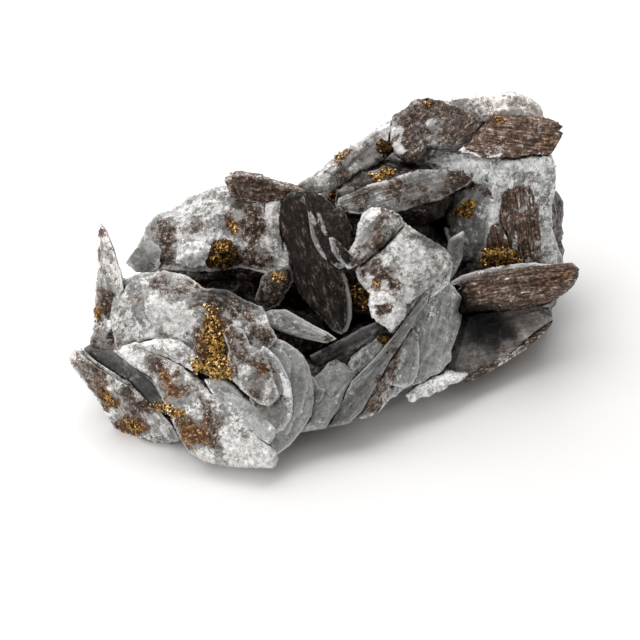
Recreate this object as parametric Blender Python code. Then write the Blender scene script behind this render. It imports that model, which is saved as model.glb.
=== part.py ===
"""A hand-sized cluster of bladed calcite crystals with small sulphide balls and crusts.

Sizes below are millimetres. The cluster is laid out facing -Y, as it shows best, and turned at the
end so that its length runs along X. It stands on the flat that was left where it broke off its rock.
"""

import math
import random
from collections import namedtuple

import bmesh
import bpy
from mathutils import Matrix, Vector

MM = 0.001
TURN_DEG = -27.0  # turns the length of the cluster onto X
MIDDLE = Vector((3.0, 10.0, 0.0))  # the point of the flat base that becomes the origin
GAP = 0.3  # clearance around each sulphide grain
NEARLY_FLAT_DEG = 8.0  # neighbouring faces that turn less than this become one
SMALL_BLADE = 13.2  # a blade with a shorter half length than this has fewer corners
CORNERS = (8, 10)  # corners around a small blade and around any other
BULGE = 0.05  # how far the middle of a side stands out, as a share of its reach
ROUGHNESS = 0.04  # how far a blade's rim wanders, as a share of its reach
GRAIN_BUMPS = 0.06  # how uneven a sulphide grain is, as a share of its radius

CALCITE_COLOUR = (0.56, 0.55, 0.54, 1.0)
SULPHIDE_COLOUR = (0.34, 0.22, 0.08, 1.0)

# How far a blade's rim reaches at each eighth of a turn, as a share of its oval.
OVAL = (1.0, 1.0, 1.0, 1.0, 1.0, 1.0, 1.0, 1.0)
LENS = (1.05, 0.9, 1.0, 0.9, 1.05, 0.9, 1.0, 0.9)
BRICK = (0.95, 1.15, 0.95, 1.15, 0.95, 1.15, 0.95, 1.15)
SKEW = (0.95, 0.9, 0.95, 1.15, 0.95, 0.85, 0.95, 1.15)
LEAN = (0.95, 1.15, 0.95, 0.85, 0.95, 1.15, 0.95, 0.85)
POINT = (1.1, 0.65, 0.9, 1.1, 0.95, 1.0, 0.95, 0.6)

# How a blade thins from its rim to its middle: share of the outline, share of half the thickness.
PLATE = ((1.0, 0.2), (0.8, 1.0))
DOME = ((1.0, 0.15), (0.85, 0.65), (0.5, 1.0))
SLAB = ((1.0, 0.7), (0.88, 1.0))

# at: centre. face: turn about Z from -Y towards +X, rise above level, roll in its own plane.
# size: half length, half width, full thickness.
Blade = namedtuple("Blade", "name at face size outline section leaves", defaults=(OVAL, PLATE, 1))
# at: centre. size: half sizes along X, Y and Z.
Lump = namedtuple("Lump", "name at size")


def rosette():
    """The round group of plates at the near left end."""
    return [
        Blade("rosette_face", (-27, -11, 25), (-12, 52, -20), (22, 10, 6),
              (0.9, 0.9, 0.95, 1.0, 1.0, 1.15, 0.9, 1.2), DOME),
        Blade("rosette_right", (-17, -21, 24), (5, 45, -55), (9.5, 5, 4), SKEW, DOME),
        Blade("rosette_inner", (-11.5, -20, 18), (15, 40, 75), (12, 6, 4), LEAN),
        Blade("rosette_outer", (-6, -19, 12.5), (25, 35, 60), (14, 7, 4), LEAN),
        Blade("rosette_lip", (-35, -12.5, 21), (-8, 40, -20), (7.5, 2.5, 3)),
        Blade("lower_front", (-29, -20, 8.5), (-8, 35, -30), (22.5, 8, 5),
              (1.0, 1.05, 0.95, 1.15, 0.8, 0.6, 1.0, 0.9), PLATE),
        Blade("lower_back", (-18.5, -21.5, 9.5), (-4, 38, -40), (10.5, 4, 4)),
        Blade("outer_left", (-46, -15.5, 8.5), (-27, 0, -52), (15.5, 8.5, 4),
              (0.95, 1.2, 0.85, 0.7, 0.85, 1.0, 0.85, 1.1), PLATE, 2),
        Blade("inner_left", (-43.5, -13.5, 15), (-25, 22, -22), (13, 4, 4), LEAN),
        Blade("left_foot", (-50, -7, 20), (-40, 20, 40), (6, 4, 4), LEAN),
        Blade("spike", (-49.8, 1, 31), (-35, 8, 95), (15, 4.5, 4), POINT),
    ]


def mound():
    """The hump behind the rosette, with a slab lying on its crest."""
    return [
        Blade("mound_face", (-24, 14, 34.5), (-8, 48, -10), (19.5, 13.5, 7),
              (0.9, 1.0, 0.95, 0.7, 0.85, 1.25, 0.95, 1.2), DOME),
        Blade("mound_left", (-40.5, 12.5, 30), (-55, 30, 70), (8, 6, 5), OVAL, DOME),
        Blade("mound_step", (-32, 8.5, 33), (-15, 42, 15), (6, 4, 3)),
        Blade("mound_right", (-10.5, 10, 33), (20, 35, 85), (12, 3.5, 4), LEAN),
        Blade("crest_slab", (-13.5, 21.5, 42.5), (8, 15, -15), (10, 3.5, 4), BRICK, SLAB, 2),
    ]


def middle():
    """The dark leaning blades, the pale slope and the blades in the recesses between them."""
    return [
        Blade("dark_main", (-1, 5.5, 33), (-25, 35, -55), (17, 6.5, 4), LENS, PLATE, 2),
        Blade("dark_second", (2.5, 12.5, 38.5), (-15, 35, -52), (11.5, 4.5, 3), LENS),
        Blade("pale_lens", (12.5, 8, 39), (25, 40, 30), (8, 5.5, 4), LEAN, DOME),
        Blade("pale_slope", (21.5, 3, 32.5), (5, 55, 35), (9.5, 9, 5), BRICK, DOME),
        Blade("pale_knob", (15, -1.5, 25.5), (15, 40, -55), (5, 4, 4), OVAL, DOME),
        Blade("sliver", (31, 10, 29), (30, 10, 100), (8, 4, 2.5), POINT),
        Blade("recess_upper", (-5, -4.5, 22), (-15, 45, -10), (9.5, 2, 3)),
        Blade("recess_lower", (7, -7.5, 16.5), (10, 15, 25), (10, 4, 3), LEAN),
    ]


def fan():
    """The steep blades that spread upward from the near edge, and the chips at their feet."""
    return [
        Blade("fan_back", (26, -2, 15), (20, 30, 60), (14.5, 6.5, 4), BRICK),
        Blade("fan_middle", (19, -9.5, 14), (15, 30, 65), (8.5, 4.5, 3), LEAN),
        Blade("fan_streaked", (13, -10.5, 9), (0, 35, 54), (13, 3.5, 3), LENS),
        Blade("fan_spine", (13.5, -6, 13), (-98, 36, 127), (20, 6.5, 3), LENS, PLATE, 2),
        Blade("foot_pale", (2.5, -17.5, 10.5), (-5, 30, 80), (9.5, 5, 4),
              (1.0, 1.05, 0.6, 1.2, 0.8, 0.95, 0.95, 1.0), DOME),
        Blade("chip_left", (15.5, -8, 4), (-20, 35, 55), (4.5, 2, 3)),
        Blade("chip_right", (26.5, -4.5, 3.5), (15, 30, 10), (8.5, 2.5, 3)),
        Blade("base_dish", (42, 7, 11), (28, 40, -10), (16, 9, 5),
              (0.9, 1.05, 0.9, 0.95, 0.85, 1.3, 0.8, 0.7), PLATE),
        Blade("base_rim", (43, 3, 6.5), (28, 25, 15), (16.5, 2.5, 3), LEAN),
        Blade("side_lump", (54, 15.5, 13), (10, 20, -20), (2.5, 2, 3)),
    ]


def block():
    """The tall block at the far right end, with plates and slabs lying over it."""
    return [
        Blade("block_body", (49, 30, 30), (12, 15, -90), (15, 9.5, 8), BRICK, SLAB),
        Blade("block_face", (46, 26.5, 30), (12, 15, -85), (11, 5, 5), BRICK, SLAB),
        Blade("block_slip", (42, 23.5, 26.5), (0, 15, -80), (4.5, 2.5, 3), BRICK),
        Blade("block_left", (38.5, 28.5, 29), (-50, 10, -90), (13, 5.5, 5), LENS, DOME),
        Blade("top_brown_left", (26, 36.5, 50), (-15, 50, 45), (10.5, 8, 5),
              (0.85, 0.85, 1.0, 0.95, 1.0, 1.05, 0.85, 1.15), SLAB),
        Blade("top_brown_right", (47, 37.5, 47), (15, 25, -15), (12, 5, 3), LENS, PLATE, 2),
        Blade("back_pale", (40.5, 43.5, 49), (-5, 35, 5), (13.5, 5.5, 8), LENS, SLAB),
        Blade("upper_plate", (7.5, 30.5, 44), (18, 49, 25), (15, 4, 4), LENS),
        Blade("middle_plate", (20, 22.5, 42), (12, 50, 10), (16.5, 4.5, 3.5), SKEW),
        Blade("saddle_white", (38, 30, 44), (5, 60, -10), (17.5, 5.5, 8), LENS, DOME),
        Blade("fibrous_log", (45.5, 14, 21.5), (8, 62, 5), (14.5, 4.2, 7),
              (1.05, 0.95, 0.9, 0.95, 1.0, 1.15, 0.95, 0.95), SLAB, 3),
        Blade("far_right", (58, 41, 17.5), (10, 5, -85), (11.5, 3, 6), LENS, DOME),
    ]


def core():
    """The massive calcite that the blades grew on."""
    return [
        Lump("core_left", (-29, -5, 10), (17, 13, 14)),
        Lump("core_near", (-39, -12, 6), (9, 8, 8)),
        Lump("core_far_left", (-42, 2, 14), (9, 9, 12)),
        Lump("core_valley", (-24, 4, 17), (16, 9, 12)),
        Lump("core_mound", (-22, 17, 20), (19, 12, 16)),
        Lump("core_near_middle", (-8, -11, 7), (15, 9, 10)),
        Lump("core_middle", (3, 17, 17), (16, 13, 17)),
        Lump("core_under", (4, 11, 6), (24, 14, 10)),
        Lump("core_dark", (0, 10, 26), (8, 7, 10)),
        Lump("core_slope", (19, 10, 20), (14, 12, 15)),
        Lump("core_fan", (12, 2, 7), (11, 10, 11)),
        Lump("core_fan_right", (27, 4, 12), (9, 9, 11)),
        Lump("core_high", (18, 36, 32), (18, 10, 12)),
        Lump("core_behind", (25, 31, 13), (13, 12, 14)),
        Lump("core_right", (44, 38, 22), (15, 12, 24)),
        Lump("core_dish", (45, 20, 8), (14, 12, 10)),
        Lump("core_shelf", (46, 22, 18), (14, 8, 7)),
    ]


def back():
    """The blades on the sides that face away: rows around each core lump, leaning outward."""
    rng = random.Random(3)
    lumps = {lump.name: lump for lump in core()}
    rows = (
        ("back_left", "core_far_left", (-155, -100), 0.2, 3),
        ("back_mound", "core_mound", (-215, -130), 0.2, 4),
        ("back_middle", "core_middle", (160, 200), 0.1, 2),
        ("back_high", "core_high", (150, 215), -0.1, 3),
        ("back_right", "core_right", (125, 205), 0.05, 5),
    )
    blades = []
    for name, root, (start, end), rise, count in rows:
        lump = lumps[root]
        for i in range(count):
            turn = start + (end - start) * i / (count - 1) + rng.uniform(-6, 6)
            height = rise + rng.uniform(-0.2, 0.3)
            tilt = 60 * height + rng.uniform(-12, 12)
            out = facing(turn, 90 * height)
            at = tuple(c + 0.95 * r * d for c, r, d in zip(lump.at, lump.size, out))
            size = (rng.uniform(10, 13), rng.uniform(6, 8), rng.uniform(3.5, 5))
            outline = rng.choice((OVAL, LENS, SKEW, LEAN))
            face = (turn + rng.uniform(-45, 45), tilt, rng.uniform(20, 160))
            blades.append(Blade(f"{name}_{i}", at, face, size, outline, rng.choice((PLATE, DOME))))
    return blades


def facing(turn, rise):
    """The direction that is turned from -Y towards +X and raised above level, in degrees."""
    turn, rise = math.radians(turn), math.radians(rise)
    return Vector((math.sin(turn) * math.cos(rise), -math.cos(turn) * math.cos(rise), math.sin(rise)))


def placing(at, turn, rise, roll):
    """Takes a blade drawn flat, its length along X and its face up, to its place in the cluster."""
    normal = facing(turn, rise)
    level = Vector((math.cos(math.radians(turn)), math.sin(math.radians(turn)), 0.0))
    axes = Matrix((level, normal.cross(level), normal)).transposed()
    spin = Matrix.Rotation(math.radians(roll), 3, "Z")
    return Matrix.Translation(Vector(at)) @ (axes @ spin).to_4x4()


def rim_points(blade, rng):
    """The corners of a blade's outline: eight reaches with straight, slightly uneven sides between."""
    length, width, _ = blade.size
    count = CORNERS[length > SMALL_BLADE]
    reaches = []
    for k, share in enumerate(blade.outline):
        angle = math.tau * k / 8
        reaches.append(Vector((length * share * math.cos(angle), width * share * math.sin(angle))))
    points = []
    for i in range(count):
        k, t = divmod(8 * i / count, 1)
        side = reaches[int(k)].lerp(reaches[(int(k) + 1) % 8], t)
        bulge = 1 + BULGE * math.sin(math.pi * t)
        points.append(side * (bulge + rng.uniform(-ROUGHNESS, ROUGHNESS)))
    return points


def plate_mesh(points, section, thickness):
    """A closed plate lying flat: its rim, then each face carried inward through the section."""
    half = thickness / 2
    bm = bmesh.new()
    bmesh.ops.create_cone(
        bm, cap_ends=True, segments=len(points), radius1=1, radius2=1, depth=thickness * section[0][1]
    )
    caps = sorted((f for f in bm.faces if len(f.verts) == len(points)), key=face_height)
    for cap in caps:
        corners = sorted(cap.verts, key=lambda v: math.atan2(v.co.y, v.co.x) % math.tau)
        for corner, point in zip(corners, points):
            corner.co.xy = point
    for cap, side in zip(caps, (-1, 1)):
        for (outer, _), (inner, height) in zip(section, section[1:]):
            cap = bmesh.ops.extrude_discrete_faces(bm, faces=[cap])["faces"][0]
            for corner in cap.verts:
                corner.co.xy *= inner / outer
                corner.co.z = side * half * height
    return bm


def face_height(face):
    """How high the middle of a face is."""
    return face.calc_center_median().z


def blade_meshes(blade):
    """A blade as one closed plate, or as several plates grown side by side."""
    rng = random.Random(blade.name)
    thickness = blade.size[2]
    meshes = []
    for leaf in range(blade.leaves):
        shift = (leaf + 0.5) / blade.leaves - 0.5
        place = placing(blade.at, *blade.face) @ Matrix.Translation((0, 0, shift * thickness))
        points = rim_points(blade, rng)
        if leaf:
            slide = Vector((rng.uniform(-0.06, 0.06), rng.uniform(-0.1, 0.1)))
            points = [p * (1 - 0.03 * leaf) + slide * blade.size[1] for p in points]
        overlap = 1 if blade.leaves == 1 else 1.25
        bm = plate_mesh(points, blade.section, overlap * thickness / blade.leaves)
        bmesh.ops.transform(bm, matrix=place, verts=bm.verts)
        meshes.append(bm)
    return meshes


def lump_mesh(lump, detail=2, bumps=0.08, grow=0.0):
    """A rounded mass, slightly uneven, optionally larger all round by a clearance."""
    rng = random.Random(lump.name)
    bm = bmesh.new()
    bmesh.ops.create_icosphere(bm, subdivisions=detail, radius=1)
    for v in bm.verts:
        uneven = 1 + rng.uniform(-bumps, bumps)
        v.co = Vector(lump.at) + Vector([(r * uneven + grow) * c for r, c in zip(lump.size, v.co)])
    return bm


def finish_object(bm, name, material=None):
    """An object from a mesh laid out in millimetres, turned and moved to where it stands."""
    stand = Matrix.Rotation(math.radians(TURN_DEG), 4, "Z") @ Matrix.Translation(-MIDDLE)
    bmesh.ops.transform(bm, matrix=Matrix.Scale(MM, 4) @ stand, verts=bm.verts)
    bmesh.ops.triangulate(bm, faces=bm.faces)
    bmesh.ops.recalc_face_normals(bm, faces=bm.faces)
    mesh = bpy.data.meshes.new(name)
    bm.to_mesh(mesh)
    bm.free()
    obj = bpy.data.objects.new(name, mesh)
    bpy.context.collection.objects.link(obj)
    if material:
        mesh.materials.append(material)
    return obj


def combine(target, tool, operation):
    """Joins a tool to the target or cuts it from it, then removes the tool."""
    modifier = target.modifiers.new(operation, "BOOLEAN")
    modifier.operation = operation
    modifier.solver = "EXACT"
    modifier.object = tool
    graph = bpy.context.evaluated_depsgraph_get()
    mesh = bpy.data.meshes.new_from_object(target.evaluated_get(graph))
    target.modifiers.clear()
    target.data = mesh
    bpy.data.objects.remove(tool)


def keep_outer_skin(obj):
    """Leaves only the skin around the whole cluster and joins faces that lie nearly flat together.

    Closed hollows between the blades are filled by this, as each one is a skin of its own.
    """
    bm = bmesh.new()
    bm.from_mesh(obj.data)
    unseen = set(bm.faces)
    skins = []
    while unseen:
        skin = [unseen.pop()]
        for face in skin:
            near = {f for edge in face.edges for f in edge.link_faces} & unseen
            unseen -= near
            skin.extend(near)
        skins.append(skin)
    skins.sort(key=len)
    inner = [face for skin in skins[:-1] for face in skin]
    bmesh.ops.delete(bm, geom=inner, context="FACES")
    bmesh.ops.dissolve_limit(bm, angle_limit=math.radians(NEARLY_FLAT_DEG), verts=bm.verts, edges=bm.edges)
    bmesh.ops.triangulate(bm, faces=bm.faces)
    bm.to_mesh(obj.data)
    bm.free()


def base_cutter():
    """The space below the flat that the cluster stands on."""
    bm = bmesh.new()
    bmesh.ops.create_cube(bm, size=200)
    bmesh.ops.translate(bm, vec=MIDDLE - Vector((0, 0, 100)), verts=bm.verts)
    return finish_object(bm, "base_cutter")


def material(name, colour, roughness, metallic):
    """A plain Principled material."""
    made = bpy.data.materials.new(name)
    made.use_nodes = True
    shader = made.node_tree.nodes["Principled BSDF"]
    shader.inputs["Base Color"].default_value = colour
    shader.inputs["Roughness"].default_value = roughness
    shader.inputs["Metallic"].default_value = metallic
    return made


def grains():
    """The sulphide on the calcite, by piece: round grains first, then thin crusts."""
    return {
        "grain_mound": [Lump("mound_ball", (-22.8, 7.8, 33.6), (3.4, 3.3, 3.4)),
                        Lump("mound_lobe", (-25.4, 7.4, 32.2), (1.7, 1.7, 1.7))],
        "grain_recess": [Lump("recess_ball", (10.6, 3.2, 24.8), (3.5, 3.3, 3.3))],
        "grain_foot": [Lump("foot_ball", (15.4, -5.3, 18.4), (1.2, 1.2, 1.2))],
        "grain_plate": [Lump("plate_ball", (15.2, 33.6, 46.4), (1.9, 1.9, 1.9))],
        "grain_shelf": [Lump("shelf_ball", (15.6, 30.4, 40.8), (2.8, 2.0, 2.0))],
        "grain_gap": [Lump("gap_ball", (4.0, 31.5, 34.0), (2.4, 2.2, 2.4))],
        "crust_wall": [Lump("wall_crust", (36.0, 28.8, 31.3), (1.6, 1.9, 1.7))],
        "crust_block": [Lump("block_crust", (43.5, 20.3, 25.6), (4.2, 1.6, 1.5))],
        "crust_front": [Lump("front_crust", (-34.0, -21.0, 12.0), (2.6, 1.8, 1.6))],
        "crust_rosette": [Lump("rosette_crust", (-23.2, -20.0, 22.0), (3.4, 2.8, 2.6)),
                          Blade("rosette_strip", (-24, -15.5, 26.2), (-12, 50, -86), (7.5, 2.6, 3), LEAN)],
    }


def grain_mesh(piece, grow):
    """A grain or a crust, optionally larger all round by a clearance."""
    if isinstance(piece, Lump):
        return lump_mesh(piece, bumps=GRAIN_BUMPS, grow=grow)
    length, width, thickness = piece.size
    return blade_meshes(piece._replace(size=(length + grow, width + grow, thickness + 2 * grow)))[0]


def joined(pieces, name, metal=None, grow=0.0):
    """Grains that touch, as one body."""
    first, *others = pieces
    body = finish_object(grain_mesh(first, grow), name, metal)
    for piece in others:
        combine(body, finish_object(grain_mesh(piece, grow), piece.name), "UNION")
    return body


def calcite():
    """All blades and the core joined in one body, cut flat underneath."""
    stone = material("calcite", CALCITE_COLOUR, 0.55, 0.0)
    first, *others = core()
    body = finish_object(lump_mesh(first), "calcite", stone)
    for lump in others:
        combine(body, finish_object(lump_mesh(lump), lump.name), "UNION")
    for blade in rosette() + mound() + middle() + fan() + block() + back():
        for bm in blade_meshes(blade):
            combine(body, finish_object(bm, blade.name), "UNION")
    combine(body, base_cutter(), "DIFFERENCE")
    return body


def main():
    for obj in list(bpy.data.objects):
        bpy.data.objects.remove(obj)
    stone = calcite()
    metal = material("sulphide", SULPHIDE_COLOUR, 0.35, 0.8)
    for name, lumps in grains().items():
        joined(lumps, name, metal)
        combine(stone, joined(lumps, "pocket", grow=GAP), "DIFFERENCE")
    keep_outer_skin(stone)


if __name__ == "__main__":
    main()
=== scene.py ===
"""A cluster of bladed calcite with small sulphide balls and crusts, dressed for close viewing.

Blades, core and grains are laid out in millimetres, the cluster facing -Y, and turned onto the
frame at the end, as the solids are.
"""

import math
import random
from collections import namedtuple
from types import SimpleNamespace

import bmesh
import bpy
import numpy as np
from mathutils import Matrix, Vector, noise
from mathutils.bvhtree import BVHTree


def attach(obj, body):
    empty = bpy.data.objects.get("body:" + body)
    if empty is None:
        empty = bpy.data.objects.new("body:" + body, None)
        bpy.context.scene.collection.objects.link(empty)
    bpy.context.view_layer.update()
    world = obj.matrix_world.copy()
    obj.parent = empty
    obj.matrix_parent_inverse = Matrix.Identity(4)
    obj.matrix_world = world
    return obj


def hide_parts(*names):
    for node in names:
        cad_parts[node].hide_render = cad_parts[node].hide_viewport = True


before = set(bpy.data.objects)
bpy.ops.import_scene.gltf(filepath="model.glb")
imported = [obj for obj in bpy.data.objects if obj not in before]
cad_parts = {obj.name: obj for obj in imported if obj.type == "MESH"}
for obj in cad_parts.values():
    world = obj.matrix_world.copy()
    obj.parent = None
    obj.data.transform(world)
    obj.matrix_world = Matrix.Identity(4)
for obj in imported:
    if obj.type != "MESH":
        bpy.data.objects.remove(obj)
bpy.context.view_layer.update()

MM = 0.001
TURN_DEG = -27.0  # turns the length of the cluster onto X
BASE_MIDDLE = Vector((3.0, 10.0, 0.0))  # the point of the flat base that becomes the origin
STAND = (
    Matrix.Scale(MM, 4)
    @ Matrix.Rotation(math.radians(TURN_DEG), 4, "Z")
    @ Matrix.Translation(-BASE_MIDDLE)
)
FINE, COARSE = 0.42, 0.62  # spacing of the points on a blade in front and on one behind
RIM_WIDTH = 4.0  # how far from a blade's rim its points still tell the distance to it
PLAIN_WARMTH = 0.3  # warmth of the grey where a coat gives none
PATCH_END = 1.7  # where a patch has faded out, in its own reaches
MOST_STAIN = 1.1  # patches stain no darker than this, which is below where the dark skin starts
DARK_SKIN_STARTS, DARK_SKIN_FULL = 1.25, 1.5
OCCLUSION_REACH = 14.0  # how near something has to stand to occlude a place, for the painted shade in recesses
WIDEST = 54.0  # how far to the right a blade behind may show in the front view

# The front view: millimetres across and up from LOOKED_AT, as seen from EYE.
LOOKED_AT = Vector((0, 0, 20))
EYE = Vector((0, -472.8, 389.4))
REACH = (LOOKED_AT - EYE).length
AHEAD = (LOOKED_AT - EYE) / REACH
ACROSS = Vector((1, 0, 0))
UP = ACROSS.cross(AHEAD)

# How a blade thins towards its rim: rim thickness as a share, width of the slope, the number and
# slope of the flat facets that cut its face, and how ragged the rim is.
Section = namedtuple("Section", "rim slope facets lean ragged")
PLATE = Section(0.16, 1.1, 2, 0.05, 1)
CLEAR = Section(0.2, 0.5, 3, 0.04, 0.3)
DOME = Section(0.12, 1.9, 5, 0.2, 1)
SLAB = Section(0.7, 0.6, 2, 0.04, 1)
POINTED = Section(0.1, 3.0, 0, 0, 0.5)

# at: a point of the blade's middle plane. face: turn about Z from -Y towards +X, rise above level,
# and turn of its length in its own plane. coat: share under white frost, share stained brown,
# strength of the fibres, brightness and, where it isn't plain, warmth; the brightness is the blade's
# own tone and, lower on blades that lie in shade, also painted shade. leaves: the plates that it
# is split into. outline: in the front view where front is true, or else in the blade's own plane.
Blade = namedtuple("Blade", "name at face thick coat section leaves outline front", defaults=(True,))
# at: centre. size: half sizes along X, Y and Z. coat: as for a blade.
Lump = namedtuple("Lump", "name at size coat")

ROSETTE = (
    Blade("rosette_face", (-27, -11, 25), (-12, 52, -20), 6, (0.55, 0.22, 0, 1), DOME, 1, (
        (-49.5, -0.5), (-49, 4.5), (-47, 9), (-42.5, 11), (-37, 11.5), (-31.5, 10.5), (-27.5, 7.5),
        (-22, 7), (-17.5, 4.5), (-13.5, 3), (-12, -1), (-10, -4.5), (-13.5, -8.5), (-20, -14), (-27, -13),
        (-31.5, -9.5), (-40, -6.5), (-48, -7),
    )),
    Blade("rosette_right", (-17, -21, 24), (5, 45, -55), 4, (0.5, 0.3, 0, 1), DOME, 1, (
        (-23, -3), (-21, -1), (-18, -2.5), (-16.5, -6), (-13.5, -7.5), (-12, -10.5), (-11, -14),
        (-9.5, -18), (-12, -20.5), (-15, -19.5), (-19, -16), (-21.5, -13), (-22, -10.5), (-21.5, -7),
    )),
    Blade("rosette_inner", (-11, -21.3, 19.1), (15, 40, 75), 1.6, (0.45, 0, 0.05, 1.3, 0), CLEAR, 1, (
        (-13.5, -6), (-12, -7), (-10, -9), (-8.5, -11.5), (-7, -15), (-6.5, -18.5), (-6.5, -21.5),
        (-7, -23.5), (-8.5, -26), (-10.5, -27), (-13.5, -26), (-16.5, -20), (-16.5, -12),
    )),
    Blade("rosette_shade", (-10.8, -22.1, 19.8), (15, 40, 75), 1.2, (0.25, 0.4, 0, 0.85), PLATE, 1, (
        (-14, -8), (-12, -9), (-10, -12), (-9, -15), (-8.5, -18), (-8, -21.5), (-9, -23.5), (-10.5, -25.5),
        (-13.5, -25), (-16.5, -19), (-16.5, -12),
    )),
    Blade("rosette_outer", (-6, -21.5, 14.6), (12, 46, 60), 2.5, (0.12, 0, 0.1, 0.95, 0), CLEAR, 1, (
        (-16, -1), (-13.5, -2.5), (-11.5, -4), (-8.5, -5), (-5.5, -7), (-4, -8.5), (-2.5, -11),
        (-2, -13.5), (-1.5, -16.5), (-1.5, -19.5), (-2, -22.5), (-3.5, -25), (-5, -27), (-7, -29.5),
        (-9, -31), (-11, -32.5), (-13, -28.5), (-13.5, -19), (-16.5, -7),
    )),
    Blade("rosette_crumb", (-6.2, -20.7, 13.4), (12, 46, 60), 1.5, (0.25, 0, 0.9, 0.85, 0), PLATE, 1, (
        (-3.5, -12.5), (-1.5, -13.5), (0, -16), (1.5, -16.5), (1, -18), (0, -19.5), (-0.5, -21), (-2, -22),
        (-3, -23.5), (-4.5, -23.5), (-5, -19),
    )),
    Blade("rosette_lip", (-35, -15.6, 23.6), (-12, 40, -20), 2, (0.65, 0, 0, 1.15), PLATE, 1, (
        (-44, -6), (-41, -5), (-38.5, -4.5), (-35.5, -4.5), (-33, -5), (-31, -6.5), (-28.5, -9),
        (-27.5, -11), (-29.5, -12.5), (-32, -11), (-36, -9), (-40, -7.5),
    )),
    Blade("lower_front", (-29, -23.6, 11.5), (-15, 36, -30), 5, (0.6, 0.15, 0, 1.25), PLATE, 1, (
        (-48.5, -7.5), (-46.5, -6), (-43.5, -5), (-40, -6), (-35.5, -8), (-31.5, -10), (-28.5, -14),
        (-23, -18.5), (-19.5, -22.5), (-15, -26), (-12.5, -29), (-10.5, -31), (-10, -33), (-11, -35),
        (-16, -35), (-22, -34.5), (-27.5, -33.5), (-31, -31), (-33, -28), (-35, -23.5), (-37.5, -18),
        (-40, -14), (-45, -10.5),
    )),
    Blade("lower_back", (-18.5, -25.8, 13), (-12, 38, -40), 2.5, (0.25, 0, 0, 1.55, 0), CLEAR, 1, (
        (-27.5, -14), (-24, -13.5), (-22, -14), (-19.5, -16), (-17.5, -18), (-15, -19.5), (-13, -21.5),
        (-12, -23), (-10.5, -25.5), (-10.5, -27.5), (-12, -29.5), (-15, -28.5), (-19.5, -25.5), (-24, -21),
    )),
    Blade("outer_left", (-46, -15.5, 8.5), (-27, 0, -52), 3, (0.38, 0.3, 0.4, 1.5), PLATE, 2, (
        (-59.5, -9), (-58.5, -7), (-57, -7), (-53, -10.5), (-47.5, -14), (-42.5, -17), (-38.5, -21.5),
        (-35, -26), (-33.5, -28.5), (-36, -29.5), (-40.5, -30.5), (-45, -30), (-47.5, -28.5),
        (-49.5, -23.5), (-52.5, -19), (-56, -14), (-58, -11.5),
    )),
    Blade("outer_sheet", (-44, -16.5, 10.5), (-27, 10, -50), 1.5, (0.4, 0, 0, 1), PLATE, 1, (
        (-58, -7), (-56, -7.5), (-52, -11), (-47, -14), (-42, -17), (-38.5, -21), (-35, -25), (-33, -28.5),
        (-36, -29), (-39.5, -24.5), (-44, -19.5), (-49, -16), (-54, -12.5), (-57, -9.5),
    )),
    Blade("inner_left", (-43.5, -13.5, 15), (-25, 22, -22), 2, (0.2, 0, 0, 0.47), PLATE, 1, (
        (-56, -7), (-54, -5.5), (-49.5, -6.5), (-45.5, -8.5), (-40, -12.5), (-36.5, -15.5), (-34, -19.5),
        (-35.5, -22.5), (-39, -22), (-42.5, -18.5), (-47.5, -14.5), (-52.5, -11.5),
    )),
    Blade("left_foot", (-50, -7, 20), (-40, 20, 40), 4, (0.4, 0.4, 0, 1.1), DOME, 1, (
        (-54.5, -5), (-53, -2), (-50.5, 0), (-48, -0.5), (-47.5, -4.5), (-48, -7.5), (-51, -8.5),
        (-54, -7),
    )),
    Blade("spike", (-49.8, 1, 31), (-35, 8, 95), 4, (0.35, 0.4, 0.6, 2.0), POINTED, 1, (
        (-52, 23), (-50.5, 21), (-49, 17.5), (-48, 14), (-47, 11), (-46.5, 7), (-48.5, 3.5), (-49.5, -0.5),
        (-51.5, -3), (-52.5, -1.5), (-53.5, 2), (-53, 7), (-52.5, 13.5), (-52.5, 20),
    )),
)
MOUND = (
    Blade("mound_face", (-24, 14, 34.5), (-8, 48, -10), 7, (0.5, 0.3, 0, 1), DOME, 1, (
        (-43, 17.5), (-41, 22), (-38.5, 25), (-35, 26), (-30.5, 29), (-24.5, 31.5), (-19, 32), (-13.5, 31),
        (-9, 28.5), (-9, 22), (-7.5, 16), (-7, 12.5), (-11, 10.5), (-19, 12.5), (-25.5, 11.5),
        (-31.5, 11.5), (-38, 12), (-41, 13.5),
    )),
    Blade("mound_left", (-40.5, 12.5, 30), (-55, 30, 70), 4, (0.3, 0.15, 0, 0.85), DOME, 1, (
        (-46, 13.5), (-44.5, 15.5), (-42.5, 18), (-40, 20), (-37.5, 16.5), (-38, 12.5), (-40, 11),
        (-43.5, 11.5),
    )),
    Blade("mound_step", (-32, 8.5, 33), (-15, 42, 15), 3, (0.9, 0, 0, 1.1), DOME, 1, (
        (-33.5, 18), (-30.5, 19.5), (-27, 19), (-25, 16), (-27, 13), (-30.5, 12), (-34, 13.5),
    )),
    Blade("mound_right", (-10.5, 10, 33), (20, 35, 85), 2, (0.4, 0, 0, 1), PLATE, 1, (
        (-13, 27.5), (-9.5, 28.5), (-8.5, 26.5), (-9, 22), (-8, 17), (-6.5, 13), (-7, 11.5), (-11, 12.5),
        (-12, 16.5), (-13, 22),
    )),
    Blade("mound_foot", (-13.5, 3, 29), (12, 30, 80), 4, (0.1, 0.7, 0, 0.55), DOME, 1, (
        (-13.5, 10.5), (-10.5, 12.5), (-7, 13), (-6, 9.5), (-8, 6.5), (-9.5, 3.5), (-13, 2), (-15.5, 4.5),
    )),
    Blade("crest_slab", (-13.5, 19, 44.6), (8, 15, -15), 4, (0.05, 0.9, 0.5, 1.55), SLAB, 1, (
        (-22.5, 33), (-21, 34.5), (-19, 35), (-13.5, 34), (-10, 32.5), (-6.5, 32), (-3.5, 30.5),
        (-2.5, 29), (-5.5, 28), (-12, 27.5), (-17, 28), (-20.5, 29),
    )),
)
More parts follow.
